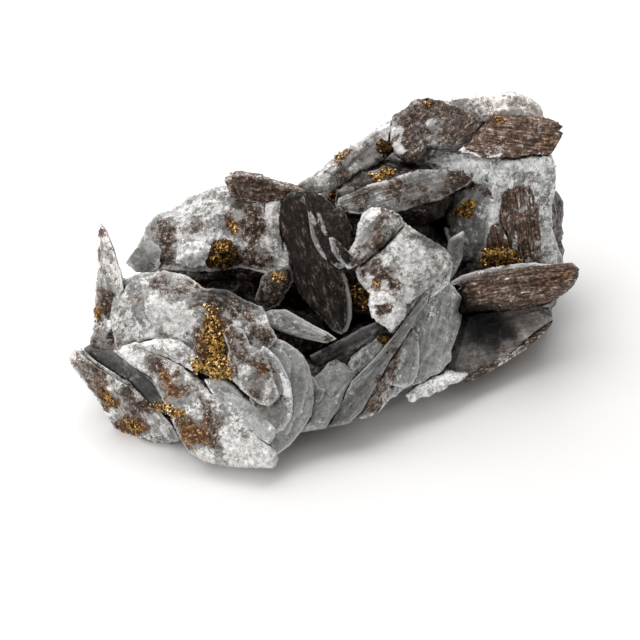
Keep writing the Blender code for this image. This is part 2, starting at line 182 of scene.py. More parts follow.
MIDDLE = (
    Blade("dark_main", (-1, 5.5, 33), (-25, 35, -55), 3, (0.0, 1.9, 0.5, 0.95), PLATE, 1, (
        (-7.5, 30), (-4.5, 30.5), (-1.5, 28.5), (0, 25), (2, 19.5), (4, 13), (5.5, 8.5), (6, 3.5),
        (6, -0.5), (5, -2.5), (3, -2), (0, 1), (-3.5, 4.5), (-5.5, 7.5), (-7, 13), (-8, 17.5),
        (-9.5, 21.5), (-10, 24.5), (-9, 27.5),
    )),
    Blade("dark_edge", (-0.5, 6.6, 31.8), (-25, 35, -55), 2, (0.15, 0.2, 0.3, 0.5, 0.6), CLEAR, 1, (
        (0, 21), (2.5, 18), (4.5, 13.5), (6.5, 9.5), (7.5, 4.5), (7.5, 0.5), (6.5, -2.5), (5, -3.5),
        (3, -2.5), (0.5, 0.5), (-2, 4.5), (-2, 14),
    )),
    Blade("dark_second", (2.5, 8.6, 41.7), (-15, 35, -52), 2, (0.15, 1.0, 0.5, 0.34), PLATE, 1, (
        (-4, 30.5), (-1.5, 30.5), (1, 29), (3.5, 27), (6, 25), (7.5, 22), (7, 18), (7.5, 15), (6.5, 13),
        (5, 12.5), (3, 13.5), (1.5, 15), (0, 17.5), (-1, 20), (-1.5, 22.5), (-3, 26.5),
    )),
    Blade("dark_lip", (2.5, 9, 41.4), (-15, 35, -52), 1.5, (0.5, 0.1, 0.2, 0.62), CLEAR, 1, (
        (-3, 27), (1.5, 27.5), (4.5, 23.5), (7, 16.5), (7, 13), (4.5, 12), (2.5, 13), (0.5, 14.5),
        (-1, 17), (-2, 19.5), (-2.5, 22.5),
    )),
    Blade("dark_curl", (4, 6.6, 40.6), (-12, 38, -50), 1.5, (0.5, 0.3, 0.2, 0.8), PLATE, 1, (
        (2, 19.5), (3.5, 19.5), (5.5, 17.5), (7, 15), (7, 13), (6, 12.5), (4.5, 14), (3, 16),
    )),
    Blade("dark_pit", (4, 6, 41.1), (-12, 38, -50), 1, (0, 1.9, 0.3, 0.5), PLATE, 1, (
        (3, 19), (4, 19), (6, 17), (7.5, 15), (7, 13.5), (6, 13.5), (4.5, 15.5), (3.5, 17.5),
    )),
    Blade("pale_lens", (12.5, 8, 39), (25, 40, 30), 4, (0.45, 0.3, 0.4, 1.25), DOME, 1, (
        (9, 22.5), (10, 25), (12, 26.5), (14, 26.5), (17, 26), (19, 24.5), (20, 23), (18.5, 21),
        (16.5, 18), (13, 15.5), (10, 13.5), (7, 12), (5.5, 13), (6.5, 16), (8.5, 19),
    )),
    Blade("pale_slope", (21.5, 3, 32.5), (5, 55, 35), 5, (0.6, 0.15, 0, 1), DOME, 1, (
        (19.5, 23.5), (22, 21.5), (26, 19), (29.5, 17), (31, 15), (30.5, 13), (28.5, 10.5), (26, 8),
        (23, 5.5), (21, 4), (18.5, 2.5), (15, 4.5), (11.5, 6.5), (9, 9.5), (8.5, 12.5), (11, 15),
        (14.5, 18),
    )),
    Blade("pale_knob", (15, -3.9, 27.3), (15, 40, -55), 4, (0.85, 0.0, 0, 1.3), DOME, 1, (
        (12, 6.5), (14, 8.5), (17, 7.5), (19.5, 5.5), (20.5, 2.5), (20, 0.5), (18, -1.5), (17, -2.5),
        (14.5, -1), (12.5, 0.5), (11.5, 3.5),
    )),
    Blade("sliver", (31, 10, 29), (30, 10, 100), 2, (0.2, 0.1, 0.05, 0.9), CLEAR, 1, (
        (30.5, 19), (32, 20), (34, 21), (34, 19), (33.5, 15), (32, 11.5), (30, 8.5), (29.5, 12.5),
    )),
    Blade("recess_upper", (-5, -4.5, 22), (-15, 45, -10), 2, (0.3, 0, 0.2, 0.9), CLEAR, 1, (
        (-13.5, 1.5), (-11.5, 2.5), (-8, 2.5), (-4.5, 0.5), (-1, -1.5), (2, -3), (4, -4.5), (1.5, -5.5),
        (-3.5, -4.5), (-9, -3), (-13, -1),
    )),
)
FAN = (
    Blade("fan_upper", (7, -7.5, 16.5), (10, 25, 25), 1.5, (0.1, 0.15, 0.3, 0.25, 0.3), CLEAR, 1, (
        (-2.5, -8.5), (2, -6), (6, -4), (9.5, -2), (13, -0.5), (16, -0.5), (15, -4), (12, -6.5), (8.5, -9),
        (5.5, -11), (2.5, -12.5), (-1, -11.5),
    )),
    Blade("fan_back", (25.9, -3.7, 16.4), (20, 34, 60), 3, (0.25, 0.0, 0.3, 1.3, 0), CLEAR, 1, (
        (20, 4), (23.5, 6.5), (27.5, 9.5), (30, 12.5), (31, 11.5), (30.5, 9), (32, 7.5), (32.5, 6.5),
        (33.5, 5.5), (33, 4), (32.5, 2), (33.5, 1), (33, -1.5), (32, -4.5), (31, -7), (31, -9.5),
        (29.5, -11), (28.5, -12.5), (26, -13.5), (24.5, -15), (22.5, -15.5), (19, -16.5), (17, -12),
        (18, -2.5),
    )),
    Blade("fan_ledge", (24, 0.5, 26), (25, 35, 60), 1.5, (0.5, 0, 0.1, 1.25, 0), CLEAR, 1, (
        (30, 15), (31.5, 13.5), (31, 11), (30.5, 8.5), (27.5, 6), (24.5, 4.5), (21.5, 1), (18.5, -2.5),
        (16.5, -3), (15.5, -1), (19, 3), (23, 7), (27, 11),
    )),
    Blade("fan_middle", (18.9, -10.9, 15.2), (15, 44, 65), 1.5, (0.2, 0.0, 0.1, 1.05, 0), CLEAR, 1, (
        (20, -3.5), (22, -2), (23, -3.5), (23.5, -6.5), (23.5, -10), (23, -13), (22, -15), (20, -16),
        (17, -15.5), (15.5, -13.5), (16.5, -10), (18, -6),
    )),
    Blade("fan_streaked", (12.9, -15.2, 12.9), (0, 55, 54), 2, (0.3, 0.5, 0.9, 1.25, 0.6), CLEAR, 1, (
        (21.5, -2.5), (22, -4.5), (19.5, -10), (17.5, -14), (16, -17.5), (14, -21.5), (12, -23), (8, -24),
        (5.5, -24), (7, -20), (11, -14), (16, -7.5),
    )),
    Blade("fan_spine", (13.4, -13.6, 16.7), (-10, 52, 52), 2, (0.2, 0.1, 0.6, 0.6, 0.2), CLEAR, 1, (
        (24.5, 5.5), (26, 6.5), (26.5, 5), (23.5, 1.5), (20, -4.5), (16.5, -9.5), (13, -16), (10, -21.5),
        (7, -24.5), (4.5, -25), (1.5, -25.5), (4, -21), (7.5, -14.5), (13, -9), (18, -3), (22, 2.5),
    )),
    Blade("fan_rib", (9, -8.2, 16.4), (-10, 56, 48), 1.5, (0.25, 0, 0.4, 0.75, 0), CLEAR, 1, (
        (7.5, -8.5), (10.5, -5.5), (13.5, -3), (17, -1), (18, -2.5), (15.5, -6), (12.5, -10), (9, -13),
        (6.5, -15), (5.5, -13),
    )),
    Blade("foot_pale", (2.5, -19, 11.7), (-5, 68, 80), 2.5, (0.15, 0, 0.05, 0.64, 0), CLEAR, 1, (
        (-2, -14), (0, -12.5), (2, -10), (4, -9.5), (6, -10.5), (7.5, -12), (9, -12.5), (8.5, -14),
        (6, -17.5), (4.5, -21), (2.5, -23.5), (1.5, -25.5), (-2, -26), (-5, -26.5), (-7, -27.5),
        (-5.5, -23.5), (-3, -21), (-0.5, -18.5), (-2, -16),
    )),
    Blade("chip_left", (15.3, -12.9, 8.1), (-20, 75, 55), 1.5, (0.85, 0, 0, 1.5, 0), PLATE, 1, (
        (16.5, -15), (18.5, -15), (20.5, -15.5), (19, -17), (18, -18), (16.5, -18.5), (15.5, -20),
        (14.5, -21), (14, -22), (13, -21.5), (13.5, -19.5), (13.5, -18), (15, -16),
    )),
    Blade("chip_right", (26.2, -9.8, 7.8), (15, 75, 10), 2, (0.75, 0, 0, 1.5, 0), PLATE, 1, (
        (20, -18), (21.5, -16.5), (22, -15.5), (23.5, -15), (25, -14), (26, -13), (28, -13), (29, -12),
        (31, -12), (33, -12.5), (35, -12.5), (34, -14), (32.5, -15), (30.5, -15), (29.5, -16.5),
        (27.5, -17), (26, -18), (24, -18), (23, -19.5), (21.5, -19.5),
    )),
    Blade("base_dish", (42, 7, 11), (28, 40, -10), 5, (0.1, 0.15, 0.3, 0.5, 0.8), PLATE, 1, (
        (30, -11), (32, -4.5), (34, 1.5), (38, 2.5), (45, 3.5), (50.5, 4.5), (54, 2.5), (55, 0), (53, -2),
        (49.5, -4.5), (47.5, -7), (44, -9.5), (40, -12), (36.5, -13.5), (33, -14.5), (30.5, -13.5),
    )),
    Blade("base_rim", (42.7, 5.6, 12.4), (28, 40, -10), 2, (0.2, 0.55, 0.9, 1.3, 0.5), PLATE, 1, (
        (34, -13.5), (36, -12), (39, -11), (41.5, -9), (45, -7.5), (48, -5), (51.5, -2.5), (54, -0.5),
        (55, 0), (54.5, -1.5), (52, -4), (48.5, -7), (44.5, -9.5), (40.5, -12), (37, -14), (33.5, -15),
    )),
    Blade("base_pale", (32, -1, 6.5), (20, 40, 10), 1.5, (0.4, 0, 0.1, 1.1), CLEAR, 1, (
        (29.5, -12), (31, -9.5), (34.5, -9), (38.5, -8.5), (39.5, -9.5), (36.5, -11), (34, -12.5),
        (32, -13.5),
    )),
    Blade("side_lump", (54, 15.5, 13), (10, 20, -20), 2.5, (0.1, 0.9, 0, 0.7), DOME, 1, (
        (52, 4), (53.5, 5), (55, 4.5), (54.5, 3), (53.5, 2), (52, 2.5),
    )),
)
BLOCK = (
    Blade("block_body", (49, 30, 30), (12, 15, -90), 8, (0.55, 0.0, 0, 1.2, 0), SLAB, 1, (
        (39.5, 34), (42.5, 38.5), (49.5, 39.5), (54, 39.5), (55, 36.5), (55, 32.5), (54, 28), (54, 23),
        (55.5, 18.5), (57, 15), (57, 13), (51, 12), (45, 12), (39.5, 13.5), (38.5, 19), (39, 27),
    )),
    Blade("block_face", (46, 26.9, 29.7), (12, 15, -85), 4.5, (0.05, 0.9, 1, 2.7), SLAB, 1, (
        (42.5, 30.5), (44.5, 32), (47.5, 33), (49.5, 32.5), (51, 30.5), (51.5, 28), (52, 23.5), (52.5, 19),
        (52, 14.5), (49.5, 12.5), (46.5, 13), (44.5, 16.5), (43, 21.5), (41.5, 25.5),
    )),
    Blade("block_slip", (42, 23.5, 26.5), (0, 15, -80), 3, (0.15, 0.7, 1, 2.0), SLAB, 1, (
        (40.5, 22.5), (42.5, 22.5), (44, 20), (45, 16.5), (45, 14), (42, 13.5), (39.5, 15), (39.5, 19),
    )),
    Blade("block_left", (38.5, 28.5, 29), (-50, 10, -90), 5, (0.35, 0.05, 0.1, 1.1, 0), DOME, 1, (
        (26.5, 29.5), (32.5, 32), (38, 33.5), (42, 31.5), (41.5, 27.5), (40.5, 23), (39.5, 18), (38, 13.5),
        (33.5, 11.5), (28.5, 15), (26, 22),
    )),
    Blade("top_brown_left", (26, 36.5, 50), (-15, 50, 45), 5, (0.08, 0.8, 0.4, 1.1), SLAB, 1, (
        (17, 45), (17.5, 48), (20.5, 49.5), (22, 51.5), (25.5, 52), (28.5, 51.5), (32.5, 50), (36, 48.5),
        (38, 46.5), (37.5, 44), (36, 42), (32, 41), (28, 41), (25, 41), (24, 38), (21, 37), (18, 39),
        (17, 41.5),
    )),
    Blade("top_brown_right", (47, 33.6, 50), (15, 25, -15), 2, (0.05, 0.9, 0.9, 3.3), PLATE, 2, (
        (38, 45), (39.5, 47), (41, 48), (43, 48.5), (46, 47.5), (50, 48), (53.5, 47.5), (56, 46.5),
        (57, 45.5), (56, 44.5), (57, 44), (56, 42), (54.5, 39.5), (53.5, 38.5), (49.5, 39), (45.5, 38),
        (42, 38.5), (39, 38), (35.5, 39.5), (32.5, 39.5), (34.5, 41.5), (36.5, 43.5),
    )),
    Blade("back_pale", (40.5, 43.5, 49), (-5, 35, 5), 8, (0.5, 0.0, 0, 1.5, 0.8), SLAB, 1, (
        (26.5, 51.5), (29.5, 52.5), (35.5, 53), (42, 53.5), (45.5, 54), (49.5, 52.5), (52, 50.5),
        (53, 47.5), (51, 45.5), (44, 46), (38, 46), (32, 48.5),
    )),
    Blade("upper_plate", (7.5, 30.5, 44), (18, 49, 25), 3, (0.45, 0.15, 0, 1.05), PLATE, 1, (
        (-5.5, 32), (-3.5, 33.5), (-1.5, 34.5), (0.5, 36), (3.5, 38.5), (6, 40.5), (10, 42.5), (12, 44.5),
        (14.5, 46), (17, 47.5), (17.5, 44), (18, 40.5), (16.5, 39), (13.5, 36.5), (10.5, 35), (7, 33),
        (4, 31), (0, 30), (-3, 30.5),
    )),
    Blade("middle_plate", (20, 22.5, 42), (12, 50, 10), 2.5, (0.3, 0.35, 0.3, 0.85), PLATE, 1, (
        (4, 27), (4.5, 29), (7.5, 30), (11.5, 32), (16, 33), (19.5, 34.5), (23.5, 35.5), (29, 35.5),
        (33.5, 35.5), (36, 33.5), (35, 32), (32, 30.5), (28.5, 28.5), (24.5, 27.5), (20, 26), (18, 25.5),
        (14, 26), (9, 25), (5.5, 25.5),
    )),
    Blade("middle_shelf", (12, 26, 41), (12, 40, 20), 2, (0.1, 0.2, 0, 0.55), PLATE, 1, (
        (4, 30.5), (7.5, 32.5), (11.5, 35), (15, 36), (18, 34), (16.5, 31), (12, 29.5), (6, 28.5),
    )),
    Blade("saddle_white", (38, 34.5, 40.5), (5, 60, -10), 6, (0.75, 0, 0, 1.65, 0), DOME, 1, (
        (23, 40.5), (24.5, 42.5), (30.5, 42), (36.5, 41), (42.5, 40), (49.5, 40.5), (54.5, 40),
        (55.5, 36.5), (54, 32), (51, 33.5), (47.5, 32.5), (44, 33), (41, 30.5), (38.5, 32), (35.5, 33),
        (32.5, 34), (28.5, 34), (24.5, 35.5),
    )),
    Blade("fibrous_log", (45.5, 14, 21.5), (8, 62, 5), 7, (0.05, 0.9, 1, 2.3, 0.8), SLAB, 2, (
        (32, 6), (34, 9), (38, 10), (43.5, 11), (49.5, 12), (55, 12.5), (59, 13), (61, 11.5), (60.5, 9.5),
        (59, 8), (56, 6), (51.5, 4.5), (45.5, 3.5), (39.5, 3), (33.5, 2.5),
    )),
    Blade("log_under", (45, 15.5, 16.5), (8, 60, 5), 2, (0.2, 0.15, 0.3, 0.7, 0.3), CLEAR, 1, (
        (34.5, 4.5), (42.5, 4), (49.5, 5), (54, 6), (56, 5.5), (55, 3.5), (51, 2), (45, 1), (39, 0.5),
        (34.5, 1.5),
    )),
    Blade("log_top", (44, 15, 24.5), (8, 62, 5), 1.5, (0.35, 0.2, 0.5, 1.35, 0.5), PLATE, 1, (
        (30, 8.5), (33.5, 10.5), (38.5, 12), (44, 13), (50, 13.5), (57, 13), (58.5, 12.5), (51, 12),
        (44, 10.5), (38, 9.5), (33.5, 8),
    )),
    Blade("far_right", (58, 41, 17.5), (10, 5, -85), 5, (0.2, 0.6, 0, 0.9), DOME, 1, (
        (54, 31), (56, 30.5), (57.5, 28), (57.5, 24.5), (57, 22.5), (57.5, 20.5), (57, 18.5), (58, 17.5),
        (57.5, 15), (56.5, 13.5), (54, 13.5), (52.5, 21.5), (53, 27.5),
    )),
)
CORE = (
    Lump("core_left", (-29, -5, 10), (17, 13, 14), (0.4, 0.5, 0, 0.7)),
    Lump("core_near", (-39, -12, 6), (9, 8, 8), (0.3, 0.5, 0, 0.5)),
    Lump("core_far_left", (-42, 2, 14), (9, 9, 12), (0.5, 0.4, 0, 0.8)),
    Lump("core_valley", (-24, 4, 17), (16, 9, 12), (0.1, 0.9, 0, 0.4)),
    Lump("core_mound", (-22, 17, 20), (19, 12, 16), (0.5, 0.5, 0, 0.8)),
    Lump("core_near_middle", (-8, -11, 7), (15, 9, 10), (0.1, 0.6, 0, 0.4)),
    Lump("core_middle", (3, 17, 17), (16, 13, 17), (0.3, 0.8, 0, 0.6)),
    Lump("core_dark", (0, 10, 26), (8, 7, 10), (0, 1, 0, 0.3)),
    Lump("core_under", (4, 11, 6), (24, 14, 10), (0.3, 0.6, 0, 0.5)),
    Lump("core_slope", (19, 10, 20), (14, 12, 15), (0.3, 0.7, 0, 0.5)),
    Lump("core_fan", (12, 2, 7), (11, 10, 11), (0.2, 0.7, 0, 0.5)),
    Lump("core_fan_right", (27, 11, 11), (9, 8, 11), (0.3, 0.6, 0, 0.5)),
    Lump("core_high", (18, 36, 32), (18, 10, 12), (0.4, 0.6, 0, 0.7)),
    Lump("core_behind", (25, 31, 13), (13, 12, 14), (0.5, 0.5, 0, 0.8)),
    Lump("core_right", (44, 38, 22), (15, 12, 24), (0.5, 0.5, 0, 0.8)),
    Lump("core_dish", (45, 20, 8), (14, 12, 10), (0.3, 0.6, 0, 0.5)),
    Lump("core_shelf", (46, 22, 16.5), (14, 8, 6), (0.3, 0.6, 0, 0.5)),
    Lump("core_step", (18, 27.5, 37), (16, 10, 8.5), (0.1, 0.8, 0, 0.4)),
    Lump("core_top", (40, 43, 42), (13, 8, 8), (0.5, 0.3, 0, 0.8)),
    Lump("core_recess", (-7, 0, 15), (11, 7.5, 9), (0.1, 0.8, 0, 0.3)),
)
LOW_LUMPS = 8  # of CORE, how many make its low piece

# Patches of the skin in the front view: kind, centre, reach, strength. Frost, stain and rust patches are
# the skin's own colour; dark patches are painted shade and light patches painted light.
SPOTS = (
    ("frost", (-35, 2), 4.5, 0.35), ("frost", (-40, -1), 3.5, 0.25), ("frost", (-45.5, -2), 2.5, 0.2),
    ("frost", (-42.5, 4.5), 2.5, -0.25), ("stain", (-46, 4.5), 2, -0.3), ("stain", (-36.5, 9), 3.5, 0.35),
    ("stain", (-31.5, 7.5), 3, 0.4), ("stain", (-35.5, 4), 1.5, 0.4), ("stain", (-36.5, -2.5), 2, 0.4),
    ("stain", (-20, 3), 5, 0.45), ("stain", (-26.5, 4.5), 3, 0.35), ("rust", (-16.5, -1), 2, 0.3),
    ("stain", (-13, -4), 2.5, 0.45), ("rust", (-25.5, -0.5), 2, 0.9), ("rust", (-25.5, -4), 2.5, 0.9),
    ("rust", (-25, -7), 3, 0.9), ("rust", (-25.5, -10.5), 2.5, 0.7), ("stain", (-28.5, -4.5), 2.5, 0.4),
    ("stain", (-21, -4.5), 2.5, 0.5), ("frost", (-19, -2), 1.5, 0.3), ("stain", (-19, -9), 2.5, 0.3),
    ("rust", (-13.5, -11), 2.5, 0.45), ("frost", (-17.5, -12.5), 1.5, 0.4),
    ("stain", (-15, -16), 2.5, 0.45), ("frost", (-12, -15.5), 1, 0.3), ("stain", (-43, -6), 1.5, 0.4),
    ("stain", (-39.5, -8), 2.5, 0.4), ("stain", (-39, -10.5), 2, 0.4), ("rust", (-36, -13), 2.5, 0.6),
    ("rust", (-35, -16.5), 2.5, 0.6), ("stain", (-31.5, -16), 2, 0.4), ("frost", (-29.5, -13), 2, 0.3),
    ("stain", (-27.5, -20), 2.5, 0.4), ("frost", (-29.5, -22), 1.5, 0.35),
    ("rust", (-29.5, -26.5), 3.5, 0.7), ("rust", (-32, -28.5), 2.5, 0.5), ("stain", (-25, -25), 2.5, 0.45),
    ("stain", (-24.5, -30), 2.5, 0.5), ("stain", (-17.5, -27.5), 2, 0.45),
    ("stain", (-17.5, -30.5), 1, 0.35), ("frost", (-21, -26), 2, 0.3), ("frost", (-19, -32), 3.5, 0.35),
    ("frost", (-13.5, -32), 3, 0.35), ("frost", (-27, -32), 2, 0.3), ("frost", (-45.5, -9), 1.5, 0.35),
    ("rust", (-51, -17), 2, 0.6), ("rust", (-49.5, -19.5), 2, 0.7), ("stain", (-53, -13.5), 2.5, 0.4),
    ("stain", (-46.5, -18), 2.5, 0.4), ("stain", (-42, -21.5), 2, 0.5), ("rust", (-45, -25), 2.5, 0.6),
    ("rust", (-42.5, -24.5), 2, 0.4), ("frost", (-43, -27.5), 1, 0.4), ("frost", (-48, -21), 1, 0.3),
    ("stain", (-51, -4.5), 3, 0.35), ("rust", (-52.5, 1.5), 2, 0.5), ("stain", (-51, 4.5), 2.5, 0.3),
    ("frost", (-51.5, 19), 2, 0.2), ("frost", (-51, -0.5), 1, 0.5), ("frost", (-29.5, 16.5), 4.5, 0.4),
    ("frost", (-31, 25), 3, 0.3), ("frost", (-23, 25.5), 2, 0.35), ("frost", (-28.5, 27), 2.5, 0.2),
    ("stain", (-35, 19), 4, 0.3), ("stain", (-38, 22), 2.5, 0.3), ("stain", (-29.5, 21.5), 2.5, 0.3),
    ("stain", (-19.5, 27), 3, 0.3), ("stain", (-16, 22), 2.5, 0.75), ("rust", (-20.5, 21.5), 1.5, 0.9),
    ("stain", (-16.5, 16), 2.5, 0.3), ("stain", (-13.5, 15.5), 2.5, 0.35), ("frost", (-18, 17.5), 1, 0.5),
    ("frost", (-8.5, 13.5), 1.5, 0.5), ("frost", (-11.5, 25), 2, 0.25), ("stain", (-19, 9.5), 4.5, 0.8),
    ("stain", (-25, 9), 3.5, 0.8), ("stain", (-11.5, 8), 3.5, 0.6), ("rust", (-10, 10.5), 2, 0.5),
    ("frost", (-13, 11), 1, 0.5), ("stain", (14, 23.5), 2, 0.4), ("stain", (13.5, 20), 2.5, 0.35),
    ("stain", (11.5, 17.5), 2, 0.3), ("frost", (12.5, 25.5), 2.5, 0.3), ("frost", (18.5, 23), 1, 0.4),
    ("stain", (13, 12.5), 2, 0.5), ("stain", (16.5, 10.5), 2.5, 0.6), ("stain", (17.5, 8), 1.5, 0.5),
    ("rust", (13.5, 8.5), 1, 0.7), ("frost", (17.5, 4.5), 1.5, 0.3), ("frost", (20, 13.5), 3.5, 0.2),
    ("frost", (21.5, 5), 2, 0.3), ("rust", (4.5, 39), 2, 0.5), ("stain", (6, 37), 2, 0.35),
    ("stain", (11.5, 38), 2.5, 0.5), ("stain", (4.5, 33.5), 2.5, 0.3), ("frost", (7, 35), 1.5, 0.4),
    ("frost", (2.5, 36.5), 1, 0.5), ("frost", (11, 36), 1, 0.4), ("frost", (16, 44.5), 1.5, 0.8),
    ("frost", (11.5, 42.5), 2, -0.2), ("stain", (11, 30.5), 3.5, 0.4), ("stain", (18, 31), 2.5, 0.4),
    ("stain", (23.5, 29.5), 3, 0.4), ("frost", (13, 29.5), 1, 0.5), ("frost", (32, 33.5), 3.5, -0.5),
    ("stain", (32, 33.5), 3, -0.4), ("frost", (26.5, 46.5), 1, 0.7), ("frost", (28, 44), 1, 0.5),
    ("frost", (18, 45), 1.5, 0.1), ("stain", (18.5, 44), 2, -0.7), ("stain", (20, 40), 2, -0.3),
    ("stain", (42.5, 46), 2.5, 0.2), ("rust", (53, 42), 2.5, 0.25), ("rust", (43, 47.5), 1.5, 0.3),
    ("frost", (32, 38), 3, 0.25), ("frost", (39, 36.5), 3.5, 0.2), ("frost", (52, 35.5), 3, 0.3),
    ("frost", (35.5, 32), 2, -0.2), ("stain", (37.5, 29.5), 2, 0.25), ("rust", (34, 26), 1.5, 0.35),
    ("stain", (30.5, 24), 2, 0.3), ("rust", (42.5, 15), 3.5, 0.4), ("stain", (35.5, 9.5), 3, 0.2),
    ("rust", (57, 10.5), 3.5, 0.15), ("stain", (2.5, -7.5), 3.5, 0.4), ("stain", (7, -4.5), 2.5, 0.3),
    ("frost", (22.5, -17.5), 2, 0.4), ("frost", (28.5, -13.5), 2, 0.3), ("frost", (26, 0), 1.5, 0.1),
    ("frost", (32, 4.5), 1, 0.1), ("dark", (28.5, 25.5), 3, 0.6), ("dark", (27, 20.5), 4, 0.8),
    ("dark", (32, 17.5), 2.5, 0.5), ("dark", (39.5, -1.5), 4.5, 0.9), ("dark", (43.5, -3), 3, 0.75),
    ("dark", (35.5, -5.5), 2, 0.5), ("dark", (34, 2), 2, 0.7), ("dark", (34, 5), 2.5, 0.75),
    ("dark", (38, 4), 1.5, 0.5), ("dark", (-43, -15.5), 4, 0.5), ("dark", (-39.5, -18), 2, 0.4),
    ("light", (-52, -10), 2, 0.15), ("dark", (-23, 7.5), 4.5, 0.8), ("dark", (-17.5, 6.5), 3, 0.6),
    ("light", (-40, -6.5), 3, 0.2), ("light", (44, 50), 3, 0.1), ("dark", (-4.5, 12), 2, 0.4),
    ("dark", (0, 4.5), 2, 0.5), ("dark", (4.5, -0.5), 1, -0.8), ("frost", (42.5, 39), 2, 0.3),
    ("frost", (35.5, 39.5), 2, 0.3), ("frost", (28.5, 41), 1.5, 0.3), ("frost", (49.5, 38.5), 2, 0.3),
    ("frost", (40, 25), 2, 0.3), ("frost", (54, 25), 2, 0.3), ("frost", (53.5, 17.5), 2, 0.25),
    ("stain", (15, 3), 1.5, 0.85), ("stain", (13.5, 4), 0.5, 0.3), ("light", (53, 0.5), 2, 0.7),
    ("stain", (46, 50), 1.5, 0.25), ("dark", (30.5, 40), 1.5, -0.1), ("stain", (18, -7.5), 1, 0.5),
    ("stain", (14, -13.5), 1, 0.5), ("rust", (58, 10.5), 1.5, 0.1), ("dark", (35.5, 3.5), 1.5, 0.5),
    ("light", (50, -2.5), 3, 0.7), ("stain", (38.5, -11.5), 1.5, 0.6), ("stain", (41.5, -10), 1, 0.5),
    ("dark", (40, -0.5), 3, 0.6), ("dark", (36.5, -3), 2, 0.5), ("stain", (12.5, 19), 2, 0.35),
    ("frost", (15, 22), 1, 0.3), ("light", (26, 4.5), 1.5, 0.15), ("dark", (36.5, 0.5), 3.5, 0.8),
    ("dark", (38, -3.5), 2.5, 0.6), ("light", (44, -8), 2.5, 0.9), ("light", (48.5, -4.5), 2, 0.9),
    ("rust", (53, 9.5), 2.5, 0.2), ("rust", (58, 11.5), 1.5, 0.15), ("dark", (34, -2), 2.5, 0.5),
    ("dark", (42.5, 0.5), 2.5, 0.5), ("light", (35.5, -9), 2, 0.7), ("light", (39.5, -10), 2, 0.6),
    ("frost", (19, 40.5), 2, 0.5), ("frost", (17.5, 46), 1.5, 0.4),
)

# Rows of blades on the sides that face away: name, the lump that carries them, first and last
# turn about Z, height on the lump in quarter turns, number.
BACK_ROWS = (
    ("back_left", "core_far_left", (-155, -100), 0.2, 3),
    ("back_mound", "core_mound", (-215, -130), 0.2, 4),
    ("back_mound_foot", "core_mound", (-200, -150), -0.35, 3),
    ("back_middle", "core_middle", (150, 205), 0.1, 4),
    ("back_under", "core_under", (130, 210), 0.1, 4),
    ("back_high", "core_high", (150, 215), -0.1, 4),
    ("back_behind", "core_behind", (120, 215), -0.1, 4),
    ("back_right", "core_right", (90, 205), 0.1, 6),
    ("back_right_foot", "core_right", (100, 190), -0.4, 4),
    ("back_dish", "core_dish", (80, 125), 0.2, 3),
)


def facing(turn, rise):
    """The direction that is turned from -Y towards +X and raised above level, in degrees."""
    turn, rise = math.radians(turn), math.radians(rise)
    return Vector((math.sin(turn) * math.cos(rise), -math.cos(turn) * math.cos(rise), math.sin(rise)))


def placing(at, turn, rise, roll):
    """Takes a blade drawn flat, its length along X and its face up, to its place in the cluster."""
    normal = facing(turn, rise)
    level = Vector((math.cos(math.radians(turn)), math.sin(math.radians(turn)), 0.0))
    axes = Matrix((level, normal.cross(level), normal)).transposed()
    spin = Matrix.Rotation(math.radians(roll), 3, "Z")
    return Matrix.Translation(Vector(at)) @ (axes @ spin).to_4x4()


def seen(p):
    """Where a point lies in the front view."""
    way = p - EYE
    return Vector((way.dot(ACROSS), way.dot(UP))) * (REACH / way.dot(AHEAD))


def sight(a, b):
    """The direction from the eye through a place of the front view."""
    return LOOKED_AT + ACROSS * a + UP * b - EYE


def jagged_oval(length, width, rng, corners=11):
    """The outline of a broken plate in its own plane, from its half sizes."""
    outline = []
    for k in range(corners):
        around = math.tau * (k + rng.uniform(-0.3, 0.3)) / corners
        share = rng.uniform(0.78, 1.08)
        outline.append((length * share * math.cos(around), width * share * math.sin(around)))
    return tuple(outline)


def back():
    """The blades on the sides that face away: rows around each core lump, leaning outward."""
    rng = random.Random(3)
    shaping = random.Random(5)
    lumps = {lump.name: lump for lump in CORE}
    blades = []
    for name, root, (start, end), rise, count in BACK_ROWS:
        lump = lumps[root]
        for i in range(count):
            turn = start + (end - start) * i / (count - 1) + rng.uniform(-6, 6)
            height = rise + rng.uniform(-0.2, 0.3)
            tilt = 60 * height + rng.uniform(-12, 12)
            out = facing(turn, 90 * height)
            at = tuple(c + 0.95 * r * d for c, r, d in zip(lump.at, lump.size, out))
            length, width, thick = rng.uniform(8, 13), rng.uniform(4, 8), rng.uniform(2, 4)
            face = (turn + rng.uniform(-50, 50), tilt, rng.uniform(20, 160))
            section = rng.choice((PLATE, PLATE, DOME, SLAB))
            outline = jagged_oval(length, width, shaping)
            frost, brown = shaping.uniform(0.3, 0.7), shaping.uniform(0.1, 0.6)
            coat = (frost, brown, shaping.choice((0, 0, 0.6)), shaping.uniform(0.7, 1.2))
            place = placing(at, *face)
            over = max(seen(place @ Vector((x, y, 0))).x for x, y in outline) - WIDEST
            at = (at[0] - max(over, 0), at[1], at[2])
            blades.append(Blade(f"{name}_{i}", at, face, thick, coat, section, 1, outline, False))
    return blades


def smooth(low, high, x):
    """0 below low, 1 above high and a soft rise between."""
    t = min(max((x - low) / (high - low), 0.0), 1.0)
    return t * t * (3 - 2 * t)


def middle_of(points):
    """The centre of the area inside an outline."""
    total, sum_x, sum_y = 0.0, 0.0, 0.0
    for a, b in zip(points, points[1:] + points[:1]):
        area = a.x * b.y - a.y * b.x
        total += area
        sum_x += (a.x + b.x) * area
        sum_y += (a.y + b.y) * area
    return Vector((sum_x, sum_y)) / (3 * total)


